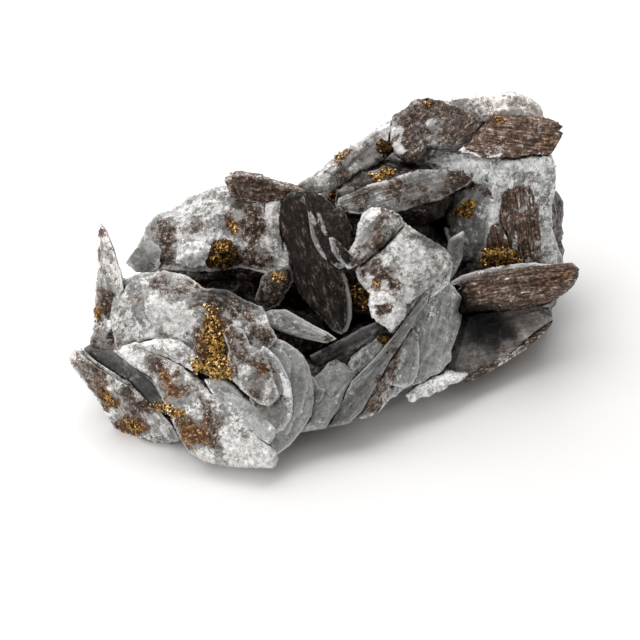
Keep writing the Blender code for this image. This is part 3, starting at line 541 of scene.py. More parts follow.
def laid_out(blade):
    """A blade's place, and its outline in its own plane about the outline's middle."""
    place = placing(blade.at, *blade.face)
    points = [Vector(p) for p in blade.outline]
    if blade.front:
        home = place.inverted()
        normal = facing(*blade.face[:2])
        depth = (Vector(blade.at) - EYE).dot(normal)
        rays = [sight(*p) for p in points]
        points = [(home @ (EYE + ray * (depth / ray.dot(normal)))).xy for ray in rays]
    middle = middle_of(points)
    points = [p - middle for p in points]
    return place @ Matrix.Translation(middle.to_3d()), points


def reaches(points, length, width, count=720):
    """How far an outline lies from its middle in each direction, as shares of its half sizes."""
    corners = np.array([(p.x / length, p.y / width) for p in points])
    sides = np.roll(corners, -1, axis=0) - corners
    made = []
    for turn in np.linspace(0, math.tau, count, endpoint=False):
        x, y = math.cos(turn), math.sin(turn)
        across = x * sides[:, 1] - y * sides[:, 0]
        across[np.abs(across) < 1e-9] = 1e-9
        far = (corners[:, 0] * sides[:, 1] - corners[:, 1] * sides[:, 0]) / across
        along = (corners[:, 0] * y - corners[:, 1] * x) / across
        met = far[(far > 0) & (along > -1e-6) & (along < 1 + 1e-6)]
        made.append(float(met.min()) if len(met) else 0.1)
    return made


def rim_distances(places, points):
    """The distance from each place to the outline."""
    least = np.full(len(places), 1e9)
    for a, b in zip(points, points[1:] + points[:1]):
        side = np.array(b - a)
        way = places - np.array(a)
        along = np.clip(way @ side / (side @ side), 0, 1)
        least = np.minimum(least, np.linalg.norm(way - along[:, None] * side, axis=1))
    return least


def gridded_box(cuts):
    """A cube from -1 to 1 whose sides are cut into a grid."""
    bm = bmesh.new()
    bmesh.ops.create_cube(bm, size=2)
    for axis, count in enumerate(cuts):
        along = [e for e in bm.edges if abs(e.verts[0].co[axis] - e.verts[1].co[axis]) > 1e-6]
        bmesh.ops.subdivide_edges(bm, edges=along, cuts=count)
    return bm


def square_turn(u, w):
    """The turn, as a share of a full one, at which a point of a square lies when it is made round."""
    if abs(u) < 1e-9 and abs(w) < 1e-9:
        return 0.0
    if abs(u) >= abs(w):
        return (w / u / 8 + (0.5 if u < 0 else 0.0)) % 1
    return (0.25 - u / w / 8 + (0.5 if w < 0 else 0.0)) % 1


def drawn_out(bm, length, width, table):
    """Where each point of a square plate lies once the plate has its outline's reaches."""
    places = np.empty((len(bm.verts), 2))
    for i, v in enumerate(bm.verts):
        u, w, _ = v.co
        turn = square_turn(u, w) * len(table)
        k, t = int(turn), turn % 1
        reach = table[k % len(table)] * (1 - t) + table[(k + 1) % len(table)] * t
        r = max(abs(u), abs(w)) * reach
        around = math.tau * turn / len(table)
        places[i] = (length * r * math.cos(around), width * r * math.sin(around))
    return places


def frost_field(p, share):
    """How surely a place is under frost: above one half it is."""
    blot = noise.fractal(p * 0.17, 1.0, 2.0, 2) + 0.45 * noise.fractal(p * 0.75, 1.0, 2.0, 2)
    return share + 0.42 * blot


def brown_field(p, share, swing):
    """How surely a place is stained brown: above one half it is."""
    return share + swing * noise.fractal(p * 0.2 + Vector((50, 0, 0)), 1.0, 2.0, 3)


def pushed(p):
    """How far the patches are pushed aside at a point, which makes their borders wander."""
    push = []
    for apart in (7, 31):
        own = Vector((apart, 0, 0))
        push.append(noise.noise(p * 0.3 + own) * 1.8 + noise.noise(p * 0.9 + own) * 0.8)
    return Vector(push)


def patched(p, frost, brown, patches):
    """Frost, brown, rust and tone at a point, with the front view's patches laid over it; tone is painted
    shade and light.
    """
    rust, tone = 0.0, 1.0
    at = seen(p) + pushed(p)
    for kind, centre, reach, strength in patches:
        far = (at - centre).length / reach
        if far > PATCH_END:
            continue
        share = strength * smooth(PATCH_END, 0.2, far)
        if kind == "frost":
            frost += share
            brown -= share
        # A dark patch paints shade and a light patch paints light, by scaling the tone.
        elif kind == "dark":
            tone *= 1 - share
        elif kind == "light":
            tone *= 1 + share
        else:
            frost -= 0.6 * share
            brown = max(brown, min(brown + share, MOST_STAIN))
            rust += share if kind == "rust" else 0.0
    return frost, brown, rust, tone


def patches_near(corners):
    """The patches that can touch a part with these corners in the front view."""
    xs, ys = [p.x for p in corners], [p.y for p in corners]
    near = []
    for kind, (a, b), reach, strength in SPOTS:
        wide = PATCH_END * reach + 3
        if min(xs) - wide < a < max(xs) + wide and min(ys) - wide < b < max(ys) + wide:
            near.append((kind, Vector((a, b)), reach, strength))
    return near


def relief(p, frost, fibres):
    """How far the skin stands above a smooth blade, in millimetres."""
    cover = smooth(0.42, 0.56, frost)
    lumpy = noise.noise(p * 0.5) * 0.5 + noise.noise(p * 1.2) * 0.5
    height = 0.1 * lumpy + cover * (0.2 + 0.35 * lumpy)
    if fibres:
        q = Vector((p.x * 0.1, p.y * 1.6, p.z * 1.6))
        height += fibres * (0.4 * noise.fractal(q, 0.7, 2.0, 3) - 0.7 * abs(noise.noise(q * 0.35)))
    return height


def sheets_of(blade, seed):
    """The thinner sheets on a blade's two faces: face, distance from the rim, lean, height."""
    made = []
    if blade.section is POINTED:
        return made
    for side in (1, -1):
        far, lean = 0.0, seed.uniform(0, math.tau)
        for _ in range(seed.choice((1, 2, 3))):
            far += seed.uniform(0.9, 2.6)
            lean += seed.uniform(-0.7, 0.7)
            made.append((side, far, lean, seed.uniform(0.2, 0.5)))
    return made


def facets_of(blade, length, width, seed):
    """The flat facets that cut a blade's two faces: face, direction, distance, slope."""
    made = []
    for side in (1, -1):
        start = seed.uniform(0, math.tau)
        for k in range(blade.section.facets):
            around = start + math.tau * (k + seed.uniform(-0.25, 0.25)) / blade.section.facets
            x, y = math.cos(around), math.sin(around)
            reach = 1 / math.hypot(x / length, y / width)
            far = reach * seed.uniform(0.15, 0.5)
            made.append((side, x, y, far, blade.section.lean * seed.uniform(0.6, 1.3)))
    return made


def coat_of(part):
    """A blade's or lump's frost share, brown share, fibres, brightness and warmth."""
    return (part.coat + (PLAIN_WARMTH,))[:5]


def skin_layers(bm):
    """New layers for what the calcite's material reads at each point.

    coat: frost, brown, warmth and distance from the rim. skin: fibres, brightness (with painted shade
    and light), rust and how occluded it is, which the material paints as shade. flat: the place on the
    blade's own plate.
    """
    colours, vectors = bm.verts.layers.float_color, bm.verts.layers.float_vector
    return colours.new("coat"), colours.new("skin"), vectors.new("flat")


def chipped(at, side, q, shift):
    """How far the rim stands out at a point, in millimetres: below 0 where it is chipped."""
    deep = noise.noise(q * 0.4) * 0.45 + noise.noise(q * 1.0) * 0.5
    fine = noise.noise(Vector((at.x * 2, at.y * 2, side * 1.5)) + shift)
    return 0.2 - abs(deep) * 1.5 + 0.14 * fine


def sheets_at(side, q, edge, sheets, around, section):
    """How high the sheets rise at a point, and its distance from the nearest sheet's rim."""
    rise, nearest = 0.0, edge
    rim_kept = 0.5 if section.ragged == 1 else 0.15
    for face, far, lean, step in sheets:
        if face * side < 0:
            continue
        inside = edge - far * (1.6 + 1.2 * math.cos(around - lean))
        inside += 0.9 * noise.noise(q * 0.3 + Vector((far * 90, 0, 0))) + 0.3 * noise.noise(q * 1.1)
        rise += step * smooth(-0.12, 0.2, inside)
        if inside > 0:
            nearest = min(nearest, inside + rim_kept)
    return rise, nearest


def blade_mesh(blade, leaf, rng, spacing):
    """One closed plate of a blade, with its rim chipped and its faces cut in facets and sheets."""
    frost_share, brown_share, fibres, bright, warm = coat_of(blade)
    section = blade.section
    place, points = laid_out(blade)
    if leaf:
        slide = Vector((rng.uniform(-0.6, 0.6), rng.uniform(-1, 1)))
        points = [p * (1 - 0.03 * leaf) + slide for p in points]
    length = max(abs(p.x) for p in points)
    width = max(abs(p.y) for p in points)
    overlap = 1 if blade.leaves == 1 else 1.25
    half = overlap * blade.thick / blade.leaves / 2
    wall = 2 * half * section.rim
    cuts = [max(3, round(2 * s / spacing)) for s in (length, width)]
    bm = gridded_box(cuts + [max(1, round(wall / spacing) - 1)])
    coat, skin, flat = skin_layers(bm)
    seed = random.Random(f"{blade.name}{leaf}")
    shift = Vector([seed.uniform(-300, 300) for _ in range(3)])
    sheets = sheets_of(blade, seed)
    facets = facets_of(blade, length, width, seed)
    lift = ((leaf + 0.5) / blade.leaves - 0.5) * blade.thick
    place = place @ Matrix.Translation((0, 0, lift))
    patches = patches_near([seen(place @ p.to_3d()) for p in points]) if blade.front else ()
    places = drawn_out(bm, length, width, reaches(points, length, width))
    edges = rim_distances(places, points)

    for i, v in enumerate(bm.verts):
        side = v.co.z
        edge = float(edges[i])
        at = Vector((places[i][0], places[i][1], 0.0))
        q = at + shift
        q.z += 40 + (side - 1) * half
        chip = chipped(at, side, q, shift)
        at += at.normalized() * chip * section.ragged * smooth(2.0, 0.0, edge)
        around = math.atan2(at.y / width, at.x / length)
        rise, from_rim = sheets_at(side, q, edge, sheets, around, section)
        for face, x, y, far, lean in facets:
            if face * side > 0:
                rise -= lean * max(0.0, at.x * x + at.y * y - far)
        world = place @ (at + Vector((0, 0, side * half)))
        frost = frost_field(q, frost_share)
        brown = brown_field(q, brown_share, 0.42)
        frost, brown, rust, tone = patched(world, frost, brown, patches)
        height = half * (section.rim + (1 - section.rim) * min(1.0, edge / section.slope) ** 0.85)
        rise += relief(q, frost, fibres) * (0.3 + 0.7 * smooth(0.0, 1.5, edge))
        at.z = side * max(height + rise, half * section.rim * 0.8)
        at.z += 0.3 * noise.noise(at * 0.12 + shift)
        v.co = at
        v[flat] = q
        v[coat] = (frost, brown, warm, min(from_rim / RIM_WIDTH, 1.0))
        v[skin] = (fibres, bright * tone, rust, 1.0)
    bmesh.ops.transform(bm, matrix=place, verts=bm.verts)
    return bm


def any_way(rng):
    """A direction, any one as likely as another."""
    return Vector([rng.gauss(0, 1) for _ in range(3)]).normalized()


def lump_mesh(lump, detail=5, flats=16):
    """A blocky, knobbly mass of calcite: a ball cut by flat faces."""
    seed = random.Random(lump.name)
    cuts = [(any_way(seed), seed.uniform(0.7, 0.92)) for _ in range(flats)]
    bm = bmesh.new()
    bmesh.ops.create_icosphere(bm, subdivisions=detail, radius=1)
    coat, skin, flat = skin_layers(bm)
    frost_share, brown_share, fibres, bright, warm = coat_of(lump)
    centre, size = Vector(lump.at), Vector(lump.size)
    middle = seen(centre)
    around = Vector((max(size), max(size)))
    patches = patches_near((middle - around, middle + around))
    for v in bm.verts:
        out = v.co.copy()
        reach = min([1.0] + [far / out.dot(way) for way, far in cuts if out.dot(way) > far])
        at = centre + out * size * reach
        frost = frost_field(at, frost_share)
        brown = brown_field(at, brown_share, 0.4)
        frost, brown, rust, tone = patched(at, frost, brown, patches if out.y < 0.3 else ())
        cell, _ = noise.voronoi(at * 0.16)
        rise = 1.6 * (cell[1] - cell[0]) - 0.9 + relief(at, frost, 0) + 0.5 * noise.noise(at * 0.3)
        v.co = at + out * rise
        v[flat] = at
        v[coat] = (frost, brown, warm, 1.0)
        v[skin] = (fibres, bright * tone, rust, 1.0)
    return bm


def gather(bm, part):
    """Adds a part to a mesh and frees it."""
    mesh = bpy.data.meshes.new("part")
    part.to_mesh(mesh)
    part.free()
    bm.from_mesh(mesh)
    bpy.data.meshes.remove(mesh)


def stand_flat(bm):
    """Cuts a closed shell off at the ground and closes the cut."""
    if min(v.co.z for v in bm.verts) > 0:
        return
    geom = bm.verts[:] + bm.edges[:] + bm.faces[:]
    bmesh.ops.bisect_plane(bm, geom=geom, plane_co=(0, 0, 0), plane_no=(0, 0, 1), clear_inner=True)
    edges = [e for e in bm.edges if e.is_boundary]
    if edges:
        bmesh.ops.holes_fill(bm, edges=edges)


# The directions in which a place is tested for occlusion, +Z being straight out of its skin.
OUTWARD = [Vector(d).normalized() for d in (
    (0, 0, 1), (0.75, 0, 0.65), (-0.75, 0, 0.65), (0.37, 0.65, 0.65), (-0.37, 0.65, 0.65),
    (0.37, -0.65, 0.65), (-0.37, -0.65, 0.65),
)]


def note_occlusion(masses):
    """Stores at each point how occluded it is, 0 in the open and 1 deep in a gap; the material paints it
    as shade.

    Gives the cluster's surface, for what is set down on it later.
    """
    whole = bmesh.new()
    for bm in masses:
        mesh = bpy.data.meshes.new("part")
        bm.to_mesh(mesh)
        whole.from_mesh(mesh)
        bpy.data.meshes.remove(mesh)
    tree = BVHTree.FromBMesh(whole)
    whole.free()
    for bm in masses:
        bm.normal_update()
        skin = bm.verts.layers.float_color["skin"]
        for v in bm.verts:
            turn = v.normal.to_track_quat("Z", "Y").to_matrix()
            start = v.co + v.normal * 0.4
            shut = 0
            for out in OUTWARD:
                place, _, _, far = tree.ray_cast(start, turn @ out, OCCLUSION_REACH)
                if place is not None:
                    shut += 1 - 0.5 * far / OCCLUSION_REACH
            r, g, b, _ = v[skin]
            v[skin] = (r, g, b, shut / len(OUTWARD))
    return tree


def finish(bm, name, material, slot, *nodes, even=True):
    """A piece of the cluster from a mesh in millimetres, put on the frame in place of its solids."""
    bmesh.ops.transform(bm, matrix=STAND, verts=bm.verts)
    mesh = bpy.data.meshes.new(name)
    bm.to_mesh(mesh)
    bm.free()
    mesh.materials.append(material)
    if slot == "calcite" and even:
        mesh.shade_smooth()
    obj = bpy.data.objects.new(name, mesh)
    bpy.context.collection.objects.link(obj)
    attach(obj, "root")
    if nodes:
        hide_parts(*nodes)


def blades_mass(blades, spacing):
    """A group of blades in one mesh."""
    bm = bmesh.new()
    for blade in blades:
        rng = random.Random(blade.name)
        for leaf in range(blade.leaves):
            part = blade_mesh(blade, leaf, rng, spacing)
            stand_flat(part)
            gather(bm, part)
    return bm


def core_mass(lumps):
    """Some of the core's lumps in one mesh."""
    bm = bmesh.new()
    for lump in lumps:
        part = lump_mesh(lump)
        stand_flat(part)
        gather(bm, part)
    return bm


# ---------------------------------------------------------------- materials

# Colours of a skin from its dark places to its pale ones: value, red, green, blue.
GREYS = (
    (0.0, 0.013, 0.012, 0.011), (0.25, 0.078, 0.076, 0.071), (0.45, 0.19, 0.192, 0.187),
    (0.65, 0.37, 0.38, 0.376), (0.85, 0.65, 0.665, 0.665), (1.0, 0.88, 0.89, 0.89),
)
BROWNS = (
    (0.1, 0.008, 0.0055, 0.004), (0.4, 0.048, 0.03, 0.021), (0.6, 0.125, 0.085, 0.063),
    (0.78, 0.27, 0.21, 0.175), (0.95, 0.62, 0.57, 0.53),
)
RUSTS = (
    (0.1, 0.018, 0.008, 0.003), (0.5, 0.11, 0.045, 0.016), (0.75, 0.32, 0.165, 0.06),
    (0.95, 0.8, 0.5, 0.22),
)
DARK_BROWNS = (
    (0.1, 0.003, 0.002, 0.0014), (0.4, 0.011, 0.0065, 0.0045), (0.62, 0.036, 0.023, 0.016),
    (0.82, 0.105, 0.075, 0.056), (1.0, 0.3, 0.25, 0.21),
)
# The bright golds of crusts and loose grains: partly their own fresh gold, partly painted light lifting
# grains that lie in shade.
GOLDS = (
    (0.2, 0.03, 0.013, 0.003), (0.5, 0.3, 0.145, 0.028), (0.72, 0.8, 0.46, 0.1),
    (0.92, 1.0, 0.78, 0.36),
)
WHITE = (1, 1, 1, 1)


def group(name, inputs, outputs):
    """An empty shader node group with its sockets and its two end nodes."""
    made = bpy.data.node_groups.new(name, "ShaderNodeTree")
    for label, kind, value in inputs:
        socket = made.interface.new_socket(label, in_out="INPUT", socket_type=kind)
        if value is not None:
            socket.default_value = value
    for label, kind in outputs:
        made.interface.new_socket(label, in_out="OUTPUT", socket_type=kind)
    return made, made.nodes.new("NodeGroupInput"), made.nodes.new("NodeGroupOutput")


class Nodes:
    """Short words for the nodes of one tree."""

    def __init__(self, tree):
        self.tree = tree

    def add(self, kind, **values):
        node = self.tree.nodes.new(kind)
        for key, value in values.items():
            setattr(node, key, value)
        return node

    def put(self, value, socket):
        if hasattr(value, "is_output"):
            self.tree.links.new(value, socket)
        else:
            socket.default_value = value

    def math(self, operation, *values):
        node = self.add("ShaderNodeMath", operation=operation)
        for value, socket in zip(values, node.inputs):
            self.put(value, socket)
        return node.outputs[0]

    def minus(self, a, b):
        return self.math("SUBTRACT", a, b)

    def times(self, a, b):
        return self.math("MULTIPLY", a, b)

    def madd(self, a, b, c):
        """a times b, plus c."""
        return self.math("MULTIPLY_ADD", a, b, c)

    def vector(self, operation, a, b=None, scale=None):
        node = self.add("ShaderNodeVectorMath", operation=operation)
        self.put(a, node.inputs[0])
        if b is not None:
            self.put(b, node.inputs[1])
        if scale is not None:
            self.put(scale, node.inputs["Scale"])
        return node.outputs[0]

    def ramp(self, value, low, high, to_low=0.0, to_high=1.0):
        node = self.add("ShaderNodeMapRange", interpolation_type="SMOOTHSTEP")
        for item, key in zip((value, low, high, to_low, to_high), node.inputs):
            self.put(item, key)
        return node.outputs[0]

    def mix(self, share, a, b, blend="MIX"):
        node = self.add("ShaderNodeMix", data_type="RGBA", blend_type=blend)
        self.put(share, node.inputs[0])
        self.put(a, node.inputs[6])
        self.put(b, node.inputs[7])
        return node.outputs[2]

    def tint(self, a, b):
        """One colour multiplied by another."""
        return self.mix(1.0, a, b, "MULTIPLY")

    def noise(self, at, scale, detail=2.0, rough=0.5):
        node = self.add("ShaderNodeTexNoise")
        self.put(at, node.inputs["Vector"])
        node.inputs["Scale"].default_value = scale
        node.inputs["Detail"].default_value = detail
        node.inputs["Roughness"].default_value = rough
        return node.outputs["Fac"]

    def palette(self, value, stops):
        """A colour that runs through the stops: (value, red, green, blue)."""
        node = self.add("ShaderNodeValToRGB")
        self.put(value, node.inputs[0])
        marks = node.color_ramp.elements
        while len(marks) < len(stops):
            marks.new(0.5)
        for mark, (at, *colour) in zip(marks, stops):
            mark.position = at
            mark.color = (*colour, 1.0)
        return node.outputs[0]

    def attribute(self, name):
        return self.add("ShaderNodeAttribute", attribute_name=name)

    def parts(self, colour):
        """The red, green and blue of a colour."""
        node = self.add("ShaderNodeSeparateColor")
        self.put(colour, node.inputs[0])
        return node.outputs


def facets_group():
    """Tiny crystal faces: each cell leans its own way and has its own random value."""
    made, ins, outs = group(
        "tiny_facets",
        (("At", "NodeSocketVector", None), ("Size", "NodeSocketFloat", 1.0),
         ("Lean", "NodeSocketFloat", 0.5), ("Normal", "NodeSocketVector", None)),
        (("Normal", "NodeSocketVector"), ("Random", "NodeSocketFloat"), ("Dome", "NodeSocketFloat")),
    )
    n = Nodes(made)
    at = n.vector("DIVIDE", ins.outputs["At"], ins.outputs["Size"])
    cell = n.add("ShaderNodeTexVoronoi", feature="F1")
    n.put(at, cell.inputs["Vector"])
    cell.inputs["Scale"].default_value = 1.0
    lean = n.vector("SUBTRACT", cell.outputs["Color"], (0.5, 0.5, 0.5))
    lean = n.vector("SCALE", lean, scale=ins.outputs["Lean"])
    n.put(n.vector("NORMALIZE", n.vector("ADD", ins.outputs["Normal"], lean)), outs.inputs["Normal"])
    n.put(n.parts(cell.outputs["Color"])[0], outs.inputs["Random"])
    n.put(n.minus(1.0, cell.outputs["Distance"]), outs.inputs["Dome"])
    return made


def use(nodes, made, **values):
    """Places a group in a material with its own values."""
    node = nodes.add("ShaderNodeGroup", node_tree=made)
    for key, value in values.items():
        nodes.put(value, node.inputs[key])
    return node


def new_material(name):
    """A material with its shader."""
    made = bpy.data.materials.new(name)
    made.use_nodes = True
    return made, Nodes(made.node_tree), made.node_tree.nodes["Principled BSDF"]


def calcite_fields(n, facets):
    """What the calcite's colour and bumps are worked out from, at each place of its skin."""
    f = SimpleNamespace()
    f.at = n.attribute("flat").outputs["Vector"]
    coat = n.attribute("coat")
    skin = n.attribute("skin")
    f.frost, f.brown, f.warm = n.parts(coat.outputs["Color"])
    f.rim = n.times(coat.outputs["Alpha"], RIM_WIDTH)
    f.fibres, f.bright, f.rust = n.parts(skin.outputs["Color"])
    f.shut = skin.outputs["Alpha"]

    f.net = n.ramp(n.noise(f.at, 0.45, 4.0, 0.7), 0.32, 0.68, -1.0, 1.0)
    f.wave = n.ramp(n.noise(f.at, 1.1, 3.0, 0.6), 0.3, 0.7, -1.0, 1.0)
    f.ripple = n.ramp(n.noise(f.at, 3.2, 2.0, 0.6), 0.3, 0.7, -1.0, 1.0)
    f.broad = n.ramp(n.noise(f.at, 0.28, 3.0, 0.6), 0.32, 0.68)
    stretched = n.vector("MULTIPLY", f.at, (0.1, 1.0, 1.0))
    f.lines = n.ramp(n.noise(stretched, 1.7, 4.0, 0.7), 0.36, 0.64)
    f.thin_lines = n.ramp(n.noise(stretched, 4.2, 2.0, 0.6), 0.4, 0.66)
    f.grain = use(n, facets, At=f.at, Size=0.8, Lean=0.0)
    f.sugar = use(n, facets, At=f.at, Size=0.42, Lean=0.9)
    mottle = n.madd(f.wave, 0.4, n.times(f.ripple, 0.3))
    mottle = n.madd(n.minus(f.grain.outputs["Random"], 0.5), 0.5, mottle)
    f.mottle = n.madd(n.minus(f.sugar.outputs["Random"], 0.5), 0.35, mottle)

    def blotch(field, torn, low, high):
        """Where a field is on: torn up by a net of holes, its borders by waves and single grains."""
        field = n.madd(f.net, torn, field)
        return n.ramp(n.madd(f.mottle, 0.36, field), low, high)

    f.frosted = blotch(f.frost, 0.1, 0.38, 0.64)
    from_rim = n.madd(f.wave, 0.3, n.math("ADD", f.rim, f.fibres))
    f.stained = n.times(blotch(f.brown, 0.3, 0.42, 0.58), n.ramp(from_rim, 0.1, 0.6))
    return f


def bare_calcite(n, f):
    """The grey of clear and frosted calcite, with fine lines along its fibres, paler at its rims partly as
    painted light.
    """
    # Paler towards the rims: partly the rims' own pale broken edges, partly painted light passing through
    # the thin calcite.
    edge = n.madd(n.minus(f.broad, 0.5), 0.9, n.madd(f.wave, 0.25, f.rim))
    edge = n.times(n.ramp(edge, 0.9, 0.1), n.madd(f.stained, -0.85, 1.0))
    value = n.madd(f.frosted, 0.27, n.madd(f.broad, 0.14, 0.43))
    # Painted light: a broad glow inward from the rims, as through a clear plate.
    value = n.madd(n.ramp(f.rim, 3.5, 0.0), 0.08, value)
    drawn = n.times(n.madd(f.frosted, -0.14, 0.16), n.ramp(f.fibres, 0.0, 0.5, 0.3, 1.2))
    value = n.madd(n.minus(f.lines, 0.5), drawn, value)
    value = n.madd(n.minus(0.78, value), n.times(edge, 0.6), value)
    value = n.madd(f.mottle, n.madd(f.frosted, 0.14, 0.16), value)
    clear = n.times(n.ramp(f.fibres, 0.0, 0.1), n.madd(f.stained, -0.8, 1.0))
    # Painted light: a bright line along the rims of clear blades and sheets, partly their own pale edge.
    pale_edge_and_painted_light = n.times(n.ramp(n.madd(f.wave, 0.08, f.rim), 0.5, 0.2), clear)
    value = n.madd(n.minus(0.92, value), n.times(pale_edge_and_painted_light, 0.75), value)
    grey = n.palette(value, GREYS)
    return n.tint(grey, n.mix(f.warm, WHITE, (1.05, 0.94, 0.89, 1)))


def stained_calcite(n, f):
    """The brown skin: lines where it has fibres and speckles where not, golden where it is rusty."""
    drawn = n.madd(f.lines, 0.36, n.madd(f.thin_lines, 0.26, 0.16))
    drawn = n.madd(f.net, 0.15, n.madd(f.wave, 0.1, drawn))
    drawn = n.madd(f.mottle, 0.1, drawn)
    speckle = n.madd(f.mottle, 0.7, 0.45)
    streaky = n.madd(n.minus(drawn, speckle), n.times(f.fibres, 0.85), speckle)
    brown_skin = n.palette(streaky, BROWNS)
    rusty_skin = n.palette(streaky, RUSTS)
    stretched = n.vector("MULTIPLY", f.at, (0.35, 1.0, 1.0))
    veins = n.math("ABSOLUTE", n.minus(n.noise(stretched, 0.7, 5.0, 0.7), 0.5))
    veins = n.times(n.ramp(veins, 0.05, 0.0), n.madd(f.broad, 0.35, 0.1))
    strands = n.madd(n.ramp(n.noise(stretched, 1.1, 6.0, 0.8), 0.3, 0.72), 0.75, veins)
    strands = n.madd(f.mottle, 0.24, n.madd(f.net, 0.14, strands))
    dark_skin = n.palette(strands, DARK_BROWNS)
    stain = n.mix(n.ramp(f.rust, 0.1, 0.6), brown_skin, rusty_skin)
    return n.mix(n.ramp(f.brown, DARK_SKIN_STARTS, DARK_SKIN_FULL), stain, dark_skin)


def calcite_material(facets):
    """Grey calcite, brown where it is stained, under patches of white frost, with clear rims made paler
    partly as painted light, and with painted shade in its recesses.
    """
    made, n, shader = new_material("calcite")
    f = calcite_fields(n, facets)
    bare = bare_calcite(n, f)
    colour = n.mix(f.stained, bare, stained_calcite(n, f))
    colour = n.mix(n.times(f.frosted, n.ramp(f.frost, 0.62, 0.8)), colour, bare)
    # The brightness carries each part's own tone, with the painted shade and light of the dark and light
    # patches.
    tone = n.add("ShaderNodeCombineColor")
    for socket in tone.inputs[:3]:
        n.put(f.bright, socket)
    colour = n.tint(colour, tone.outputs[0])
    # Painted shade: occluded places are darkened towards a near-black brown, as shade in the recesses.
    painted_shade = n.ramp(n.madd(f.wave, 0.04, f.shut), 0.35, 0.8)
    colour = n.tint(colour, n.mix(painted_shade, WHITE, (0.06, 0.042, 0.03, 1)))
    n.put(colour, shader.inputs["Base Color"])

    rough_skin = n.math("MAXIMUM", f.frosted, f.stained)
    height = n.madd(f.wave, 0.3, n.times(f.ripple, 0.15))
    height = n.madd(f.grain.outputs["Dome"], n.times(rough_skin, 0.6), height)
    height = n.madd(f.sugar.outputs["Dome"], n.times(rough_skin, 0.35), height)
    height = n.madd(f.lines, n.times(f.fibres, 0.5), height)
    height = n.madd(f.thin_lines, n.times(f.fibres, 0.35), height)
    bump = n.add("ShaderNodeBump")
    bump.inputs["Strength"].default_value = 1.0
    bump.inputs["Distance"].default_value = 0.4 * MM
    n.put(height, bump.inputs["Height"])
    n.put(bump.outputs[0], f.sugar.inputs["Normal"])
    n.put(n.madd(rough_skin, 0.3, 0.04), f.sugar.inputs["Lean"])
    n.put(f.sugar.outputs["Normal"], shader.inputs["Normal"])
    n.put(n.madd(rough_skin, 0.15, 0.3), shader.inputs["Roughness"])
    shader.inputs["Specular IOR Level"].default_value = 0.25
    return made


def sulphide_material(facets):
    """Bronze-gold crystal faces: dark on a ball, brighter on a crust and on loose grains, the brighter
    gold partly their own and partly painted light.
    """
    made, n, shader = new_material("sulphide")
    at = n.add("ShaderNodeTexCoord").outputs["Object"]
    at = n.vector("MULTIPLY", at, (1 / MM, 1 / MM, 1 / MM))
    grain = use(n, facets, At=at, Size=0.45, Lean=0.7)
    lot = grain.outputs["Random"]
    broad = n.noise(at, 0.5, 2.0)
    share = n.math("POWER", lot, 2.5)
    dark = n.mix(share, (0.014, 0.008, 0.004, 1), (0.18, 0.1, 0.025, 1))
    bright = n.mix(share, (0.06, 0.03, 0.008, 1), (0.6, 0.34, 0.09, 1))
    ball = n.mix(n.ramp(broad, 0.4, 0.65), dark, bright)
    loose = n.palette(lot, GOLDS)
    shine = n.attribute("shine").outputs["Fac"]
    n.put(n.mix(shine, ball, loose), shader.inputs["Base Color"])
    geometry = n.add("ShaderNodeNewGeometry")
    n.put(geometry.outputs["Normal"], grain.inputs["Normal"])
    n.put(grain.outputs["Normal"], shader.inputs["Normal"])
    n.put(n.ramp(lot, 0.2, 0.9, 0.45, 0.22), shader.inputs["Roughness"])
    n.put(n.madd(shine, -0.4, 0.85), shader.inputs["Metallic"])
    return made


def floor_material():
    """A plain pale sheet."""
    made, n, shader = new_material("pale_sheet")
    at = n.add("ShaderNodeTexCoord").outputs["Object"]
    tone = n.noise(at, 3.0, 2.0)
    n.put(n.mix(tone, (0.9, 0.9, 0.9, 1), (0.93, 0.93, 0.93, 1)), shader.inputs["Base Color"])
    shader.inputs["Roughness"].default_value = 0.9
    return made


# ---------------------------------------------------------------- sulphide

# The solid that each ball or crust replaces, and its round parts: centre, half sizes.
GRAINS = {
    "grain_mound": (((-22.8, 7.8, 33.6), (3.4, 3.3, 3.4)), ((-25.4, 7.4, 32.2), (1.7, 1.7, 1.7))),
    "grain_recess": (((10.6, 3.2, 24.8), (3.5, 3.3, 3.3)),),
    "grain_foot": (((15.4, -6.3, 19.2), (1.6, 1.5, 1.5)),),
    "grain_plate": (((15.2, 33.6, 46.4), (1.9, 1.9, 1.9)),),
    "grain_shelf": (((15.6, 30.4, 40.8), (2.8, 2.0, 2.0)),),
    "grain_gap": (((4.0, 31.5, 34.0), (2.4, 2.2, 2.4)),),
    "crust_wall": (((36.0, 28.8, 31.3), (1.6, 1.9, 1.7)),),
    "crust_block": (((43.3, 20.0, 25.0), (4.4, 1.5, 1.1)),),
    "crust_front": (((-34.0, -21.0, 12.0), (2.6, 1.8, 1.6)),),
    "crust_rosette": (((-23.2, -20.0, 22.0), (3.4, 2.8, 2.6)),),
}

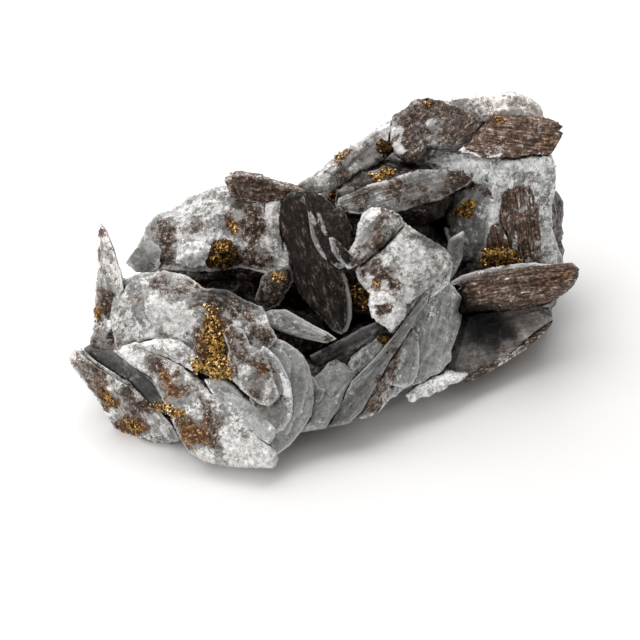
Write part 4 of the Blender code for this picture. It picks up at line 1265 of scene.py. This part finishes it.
# Grains along a line of the front view: start, end, width, number, smallest and largest size.
SPRINKLES = (
    ((-26, 3), (-25.5, -2.5), 1.4, 70, (0.3, 0.7)),
    ((-25.5, -3), (-25, -8), 2.2, 190, (0.35, 0.8)),
    ((-29.5, -10.5), (-21.5, -12), 1.8, 150, (0.4, 0.9)),
    ((-39, -20), (-33, -22.5), 1.3, 100, (0.35, 0.8)),
    ((-52, -16), (-49, -20), 0.8, 50, (0.3, 0.6)),
    ((-46, -23.5), (-42, -26), 0.8, 50, (0.3, 0.6)),
    ((-45, -28), (-41.5, -30), 0.8, 50, (0.4, 0.8)),
    ((-53, 3), (-52.5, -0.5), 0.6, 24, (0.3, 0.6)),
    ((-21, 22), (-19.5, 21.5), 1.0, 20, (0.3, 0.6)),
    ((32.5, 25.5), (36, 27.5), 1.1, 110, (0.4, 1.1)),
    ((38.5, 14), (45.5, 14.5), 1.1, 150, (0.4, 0.9)),
    ((46, 14.5), (47.5, 14), 0.8, 20, (0.3, 0.6)),
    ((13, 33.5), (17, 35), 1.2, 60, (0.3, 0.8)),
    ((3.5, 39.5), (5, 38.5), 1.0, 20, (0.3, 0.6)),
    ((25, 51.5), (26, 51), 0.9, 16, (0.3, 0.7)),
    ((41, 48), (43, 47), 0.9, 18, (0.3, 0.7)),
    ((13, 9), (14, 8), 0.8, 16, (0.3, 0.6)),
    ((-11, 11), (-9.5, 9.5), 1.0, 26, (0.3, 0.6)),
)
STUDS = 4.2 / 2.2  # crystals on each square millimetre of a ball
BATCH = 60  # crystals made at a time, because one big mesh takes them ever more slowly
SUGAR_SHARE = 0.03  # the share of points in a frosted place that carry a sugar crystal
# How far crusts and loose grains take the bright golds: partly their own gold, partly painted light.
CRUST_GOLD_AND_PAINTED_LIGHT, LOOSE_GOLD_AND_PAINTED_LIGHT = 0.7, 1.0


def little_crystals(places, rng):
    """Small blunt crystals, each a turned cube: (centre, size) for each."""
    bm = bmesh.new()
    for at, size in places:
        made = bmesh.ops.create_cube(bm, size=size)["verts"]
        way = Vector([rng.uniform(-3, 3) for _ in range(3)]).normalized()
        scale = Vector([rng.uniform(0.7, 1.1) for _ in range(3)])
        turn = Matrix.LocRotScale(at, way.to_track_quat("Z", "Y"), scale)
        bmesh.ops.transform(bm, matrix=turn, verts=made)
    return bm


def stud(bm, places, rng):
    """A mesh with a little crystal added at each place."""
    for start in range(0, len(places), BATCH):
        gather(bm, little_crystals(places[start:start + BATCH], rng))
    return bm


def ball_mesh(at, size, rng):
    """A ball studded with small crystals."""
    bm = bmesh.new()
    bmesh.ops.create_icosphere(bm, subdivisions=4, radius=1)
    centre, size = Vector(at), Vector(size)
    for v in bm.verts:
        out = v.co.copy()
        p = centre + out * size
        cell, _ = noise.voronoi(p * 1.1)
        v.co = centre + out * size * (0.93 + 0.1 * (cell[1] - cell[0]) + 0.03 * noise.noise(p * 0.6))
    area = 4 * (size.x * size.y + size.y * size.z + size.x * size.z)
    places = []
    for _ in range(int(area * STUDS)):
        out = any_way(rng)
        places.append((centre + out * size * rng.uniform(0.9, 0.97), rng.uniform(0.35, 0.95)))
    return stud(bm, places, rng)


def sugar_crystals(masses, rng):
    """Tiny calcite crystals that stand on the frosted parts."""
    places = []
    for mass in masses:
        coat = mass.verts.layers.float_color["coat"]
        skin = mass.verts.layers.float_color["skin"]
        for v in mass.verts:
            frosted = v[coat][0] > 0.75 and v[skin][0] < 0.05
            if frosted and v[skin][3] < 0.4 and v.co.z > 1.5 and rng.random() < SUGAR_SHARE:
                size = rng.uniform(0.25, 0.5) if rng.random() < 0.9 else rng.uniform(0.5, 0.9)
                places.append((v.co + v.normal * 0.15 * size, size))
    bm = stud(bmesh.new(), places, rng)
    coat, skin, flat = skin_layers(bm)
    for v in bm.verts:
        v[flat] = v.co
        v[coat] = (1.0, 0.0, 0.2, 1.0)
        v[skin] = (0.0, 1.1, 0.0, 0.0)
    return bm


def set_gold_and_painted_light(bm, shine):
    """Stores at every point how far the sulphide goes from the dark ball golds to the bright ones: partly
    its own gold, partly painted light.
    """
    layer = bm.verts.layers.float.new("shine")
    for v in bm.verts:
        v[layer] = shine


def sprinkled(surface, rng):
    """Sulphide grains along each line of the front view, set down where the sight meets the skin."""
    places = []
    for start, end, wide, count, (low, high) in SPRINKLES:
        for _ in range(count):
            a, b = Vector(start).lerp(Vector(end), rng.uniform(0, 1))
            across, up = rng.gauss(0, wide / 2), rng.gauss(0, wide / 2)
            place, normal, _, _ = surface.ray_cast(EYE, sight(a + across, b + up))
            if place is not None:
                size = rng.uniform(low, high)
                places.append((place + normal * 0.2 * size, size))
    bm = stud(bmesh.new(), places, rng)
    set_gold_and_painted_light(bm, LOOSE_GOLD_AND_PAINTED_LIGHT)
    return bm


def sulphide_pieces(material):
    """Each ball or crust as a studded piece in place of its solid."""
    for name, parts in GRAINS.items():
        rng = random.Random(name)
        bm = bmesh.new()
        for at, size in parts:
            gather(bm, ball_mesh(at, size, rng))
        set_gold_and_painted_light(bm, CRUST_GOLD_AND_PAINTED_LIGHT if name.startswith("crust") else 0.0)
        finish(bm, name + "_crystals", material, "sulphide", name)


# ---------------------------------------------------------------- stage


def aimed(data, at, look):
    """A camera or light at one place of the layout, turned to look at another."""
    obj = bpy.data.objects.new(data.name, data)
    bpy.context.collection.objects.link(obj)
    start, end = STAND @ Vector(at), STAND @ Vector(look)
    obj.location = start
    obj.rotation_euler = (end - start).to_track_quat("-Z", "Y").to_euler()
    return obj


def softbox(name, at, size, watts):
    """A square soft light, its size in metres, that looks at the cluster."""
    light = bpy.data.lights.new(name, "AREA")
    light.shape = "RECTANGLE"
    light.size = light.size_y = size
    light.energy = watts
    aimed(light, at, (0, 5, 15))


def studio():
    """Camera, floor and soft lights, set out as the cluster faces -Y."""
    camera = bpy.data.cameras.new("camera")
    camera.sensor_width = 36
    camera.lens = 142.7
    bpy.context.scene.camera = aimed(camera, EYE, LOOKED_AT)

    softbox("key", (-150, 320, 560), 0.9, 6.6)
    softbox("front", (-330, -330, 430), 0.6, 1.5)
    world = bpy.data.worlds.new("studio")
    bpy.context.scene.world = world
    world.use_nodes = True
    background = world.node_tree.nodes["Background"]
    background.inputs["Color"].default_value = (1, 0.94, 0.9, 1)
    background.inputs["Strength"].default_value = 0.28

    bm = bmesh.new()
    bmesh.ops.create_grid(bm, x_segments=8, y_segments=8, size=3)
    mesh = bpy.data.meshes.new("floor")
    bm.to_mesh(mesh)
    bm.free()
    mesh.materials.append(floor_material())
    floor = bpy.data.objects.new("floor", mesh)
    bpy.context.collection.objects.link(floor)
    bpy.context.scene.view_settings.view_transform = "Standard"


facets = facets_group()
calcite = calcite_material(facets)
masses = {
    "calcite_rosette": blades_mass(ROSETTE, FINE),
    "calcite_mound": blades_mass(MOUND, FINE),
    "calcite_middle": blades_mass(MIDDLE, FINE),
    "calcite_fan": blades_mass(FAN, FINE),
    "calcite_block": blades_mass(BLOCK, FINE),
    "calcite_back": blades_mass(back(), COARSE),
    "calcite_core_low": core_mass(CORE[:LOW_LUMPS]),
    "calcite_core_high": core_mass(CORE[LOW_LUMPS:]),
}
surface = note_occlusion(masses.values())
sugar = sugar_crystals(masses.values(), random.Random(8))
for name, mass in masses.items():
    finish(mass, name, calcite, "calcite", "calcite")
finish(sugar, "calcite_sugar", calcite, "calcite", even=False)
sulphide = sulphide_material(facets)
sulphide_pieces(sulphide)
finish(sprinkled(surface, random.Random(4)), "sulphide_sprinkle", sulphide, "sulphide")
studio()
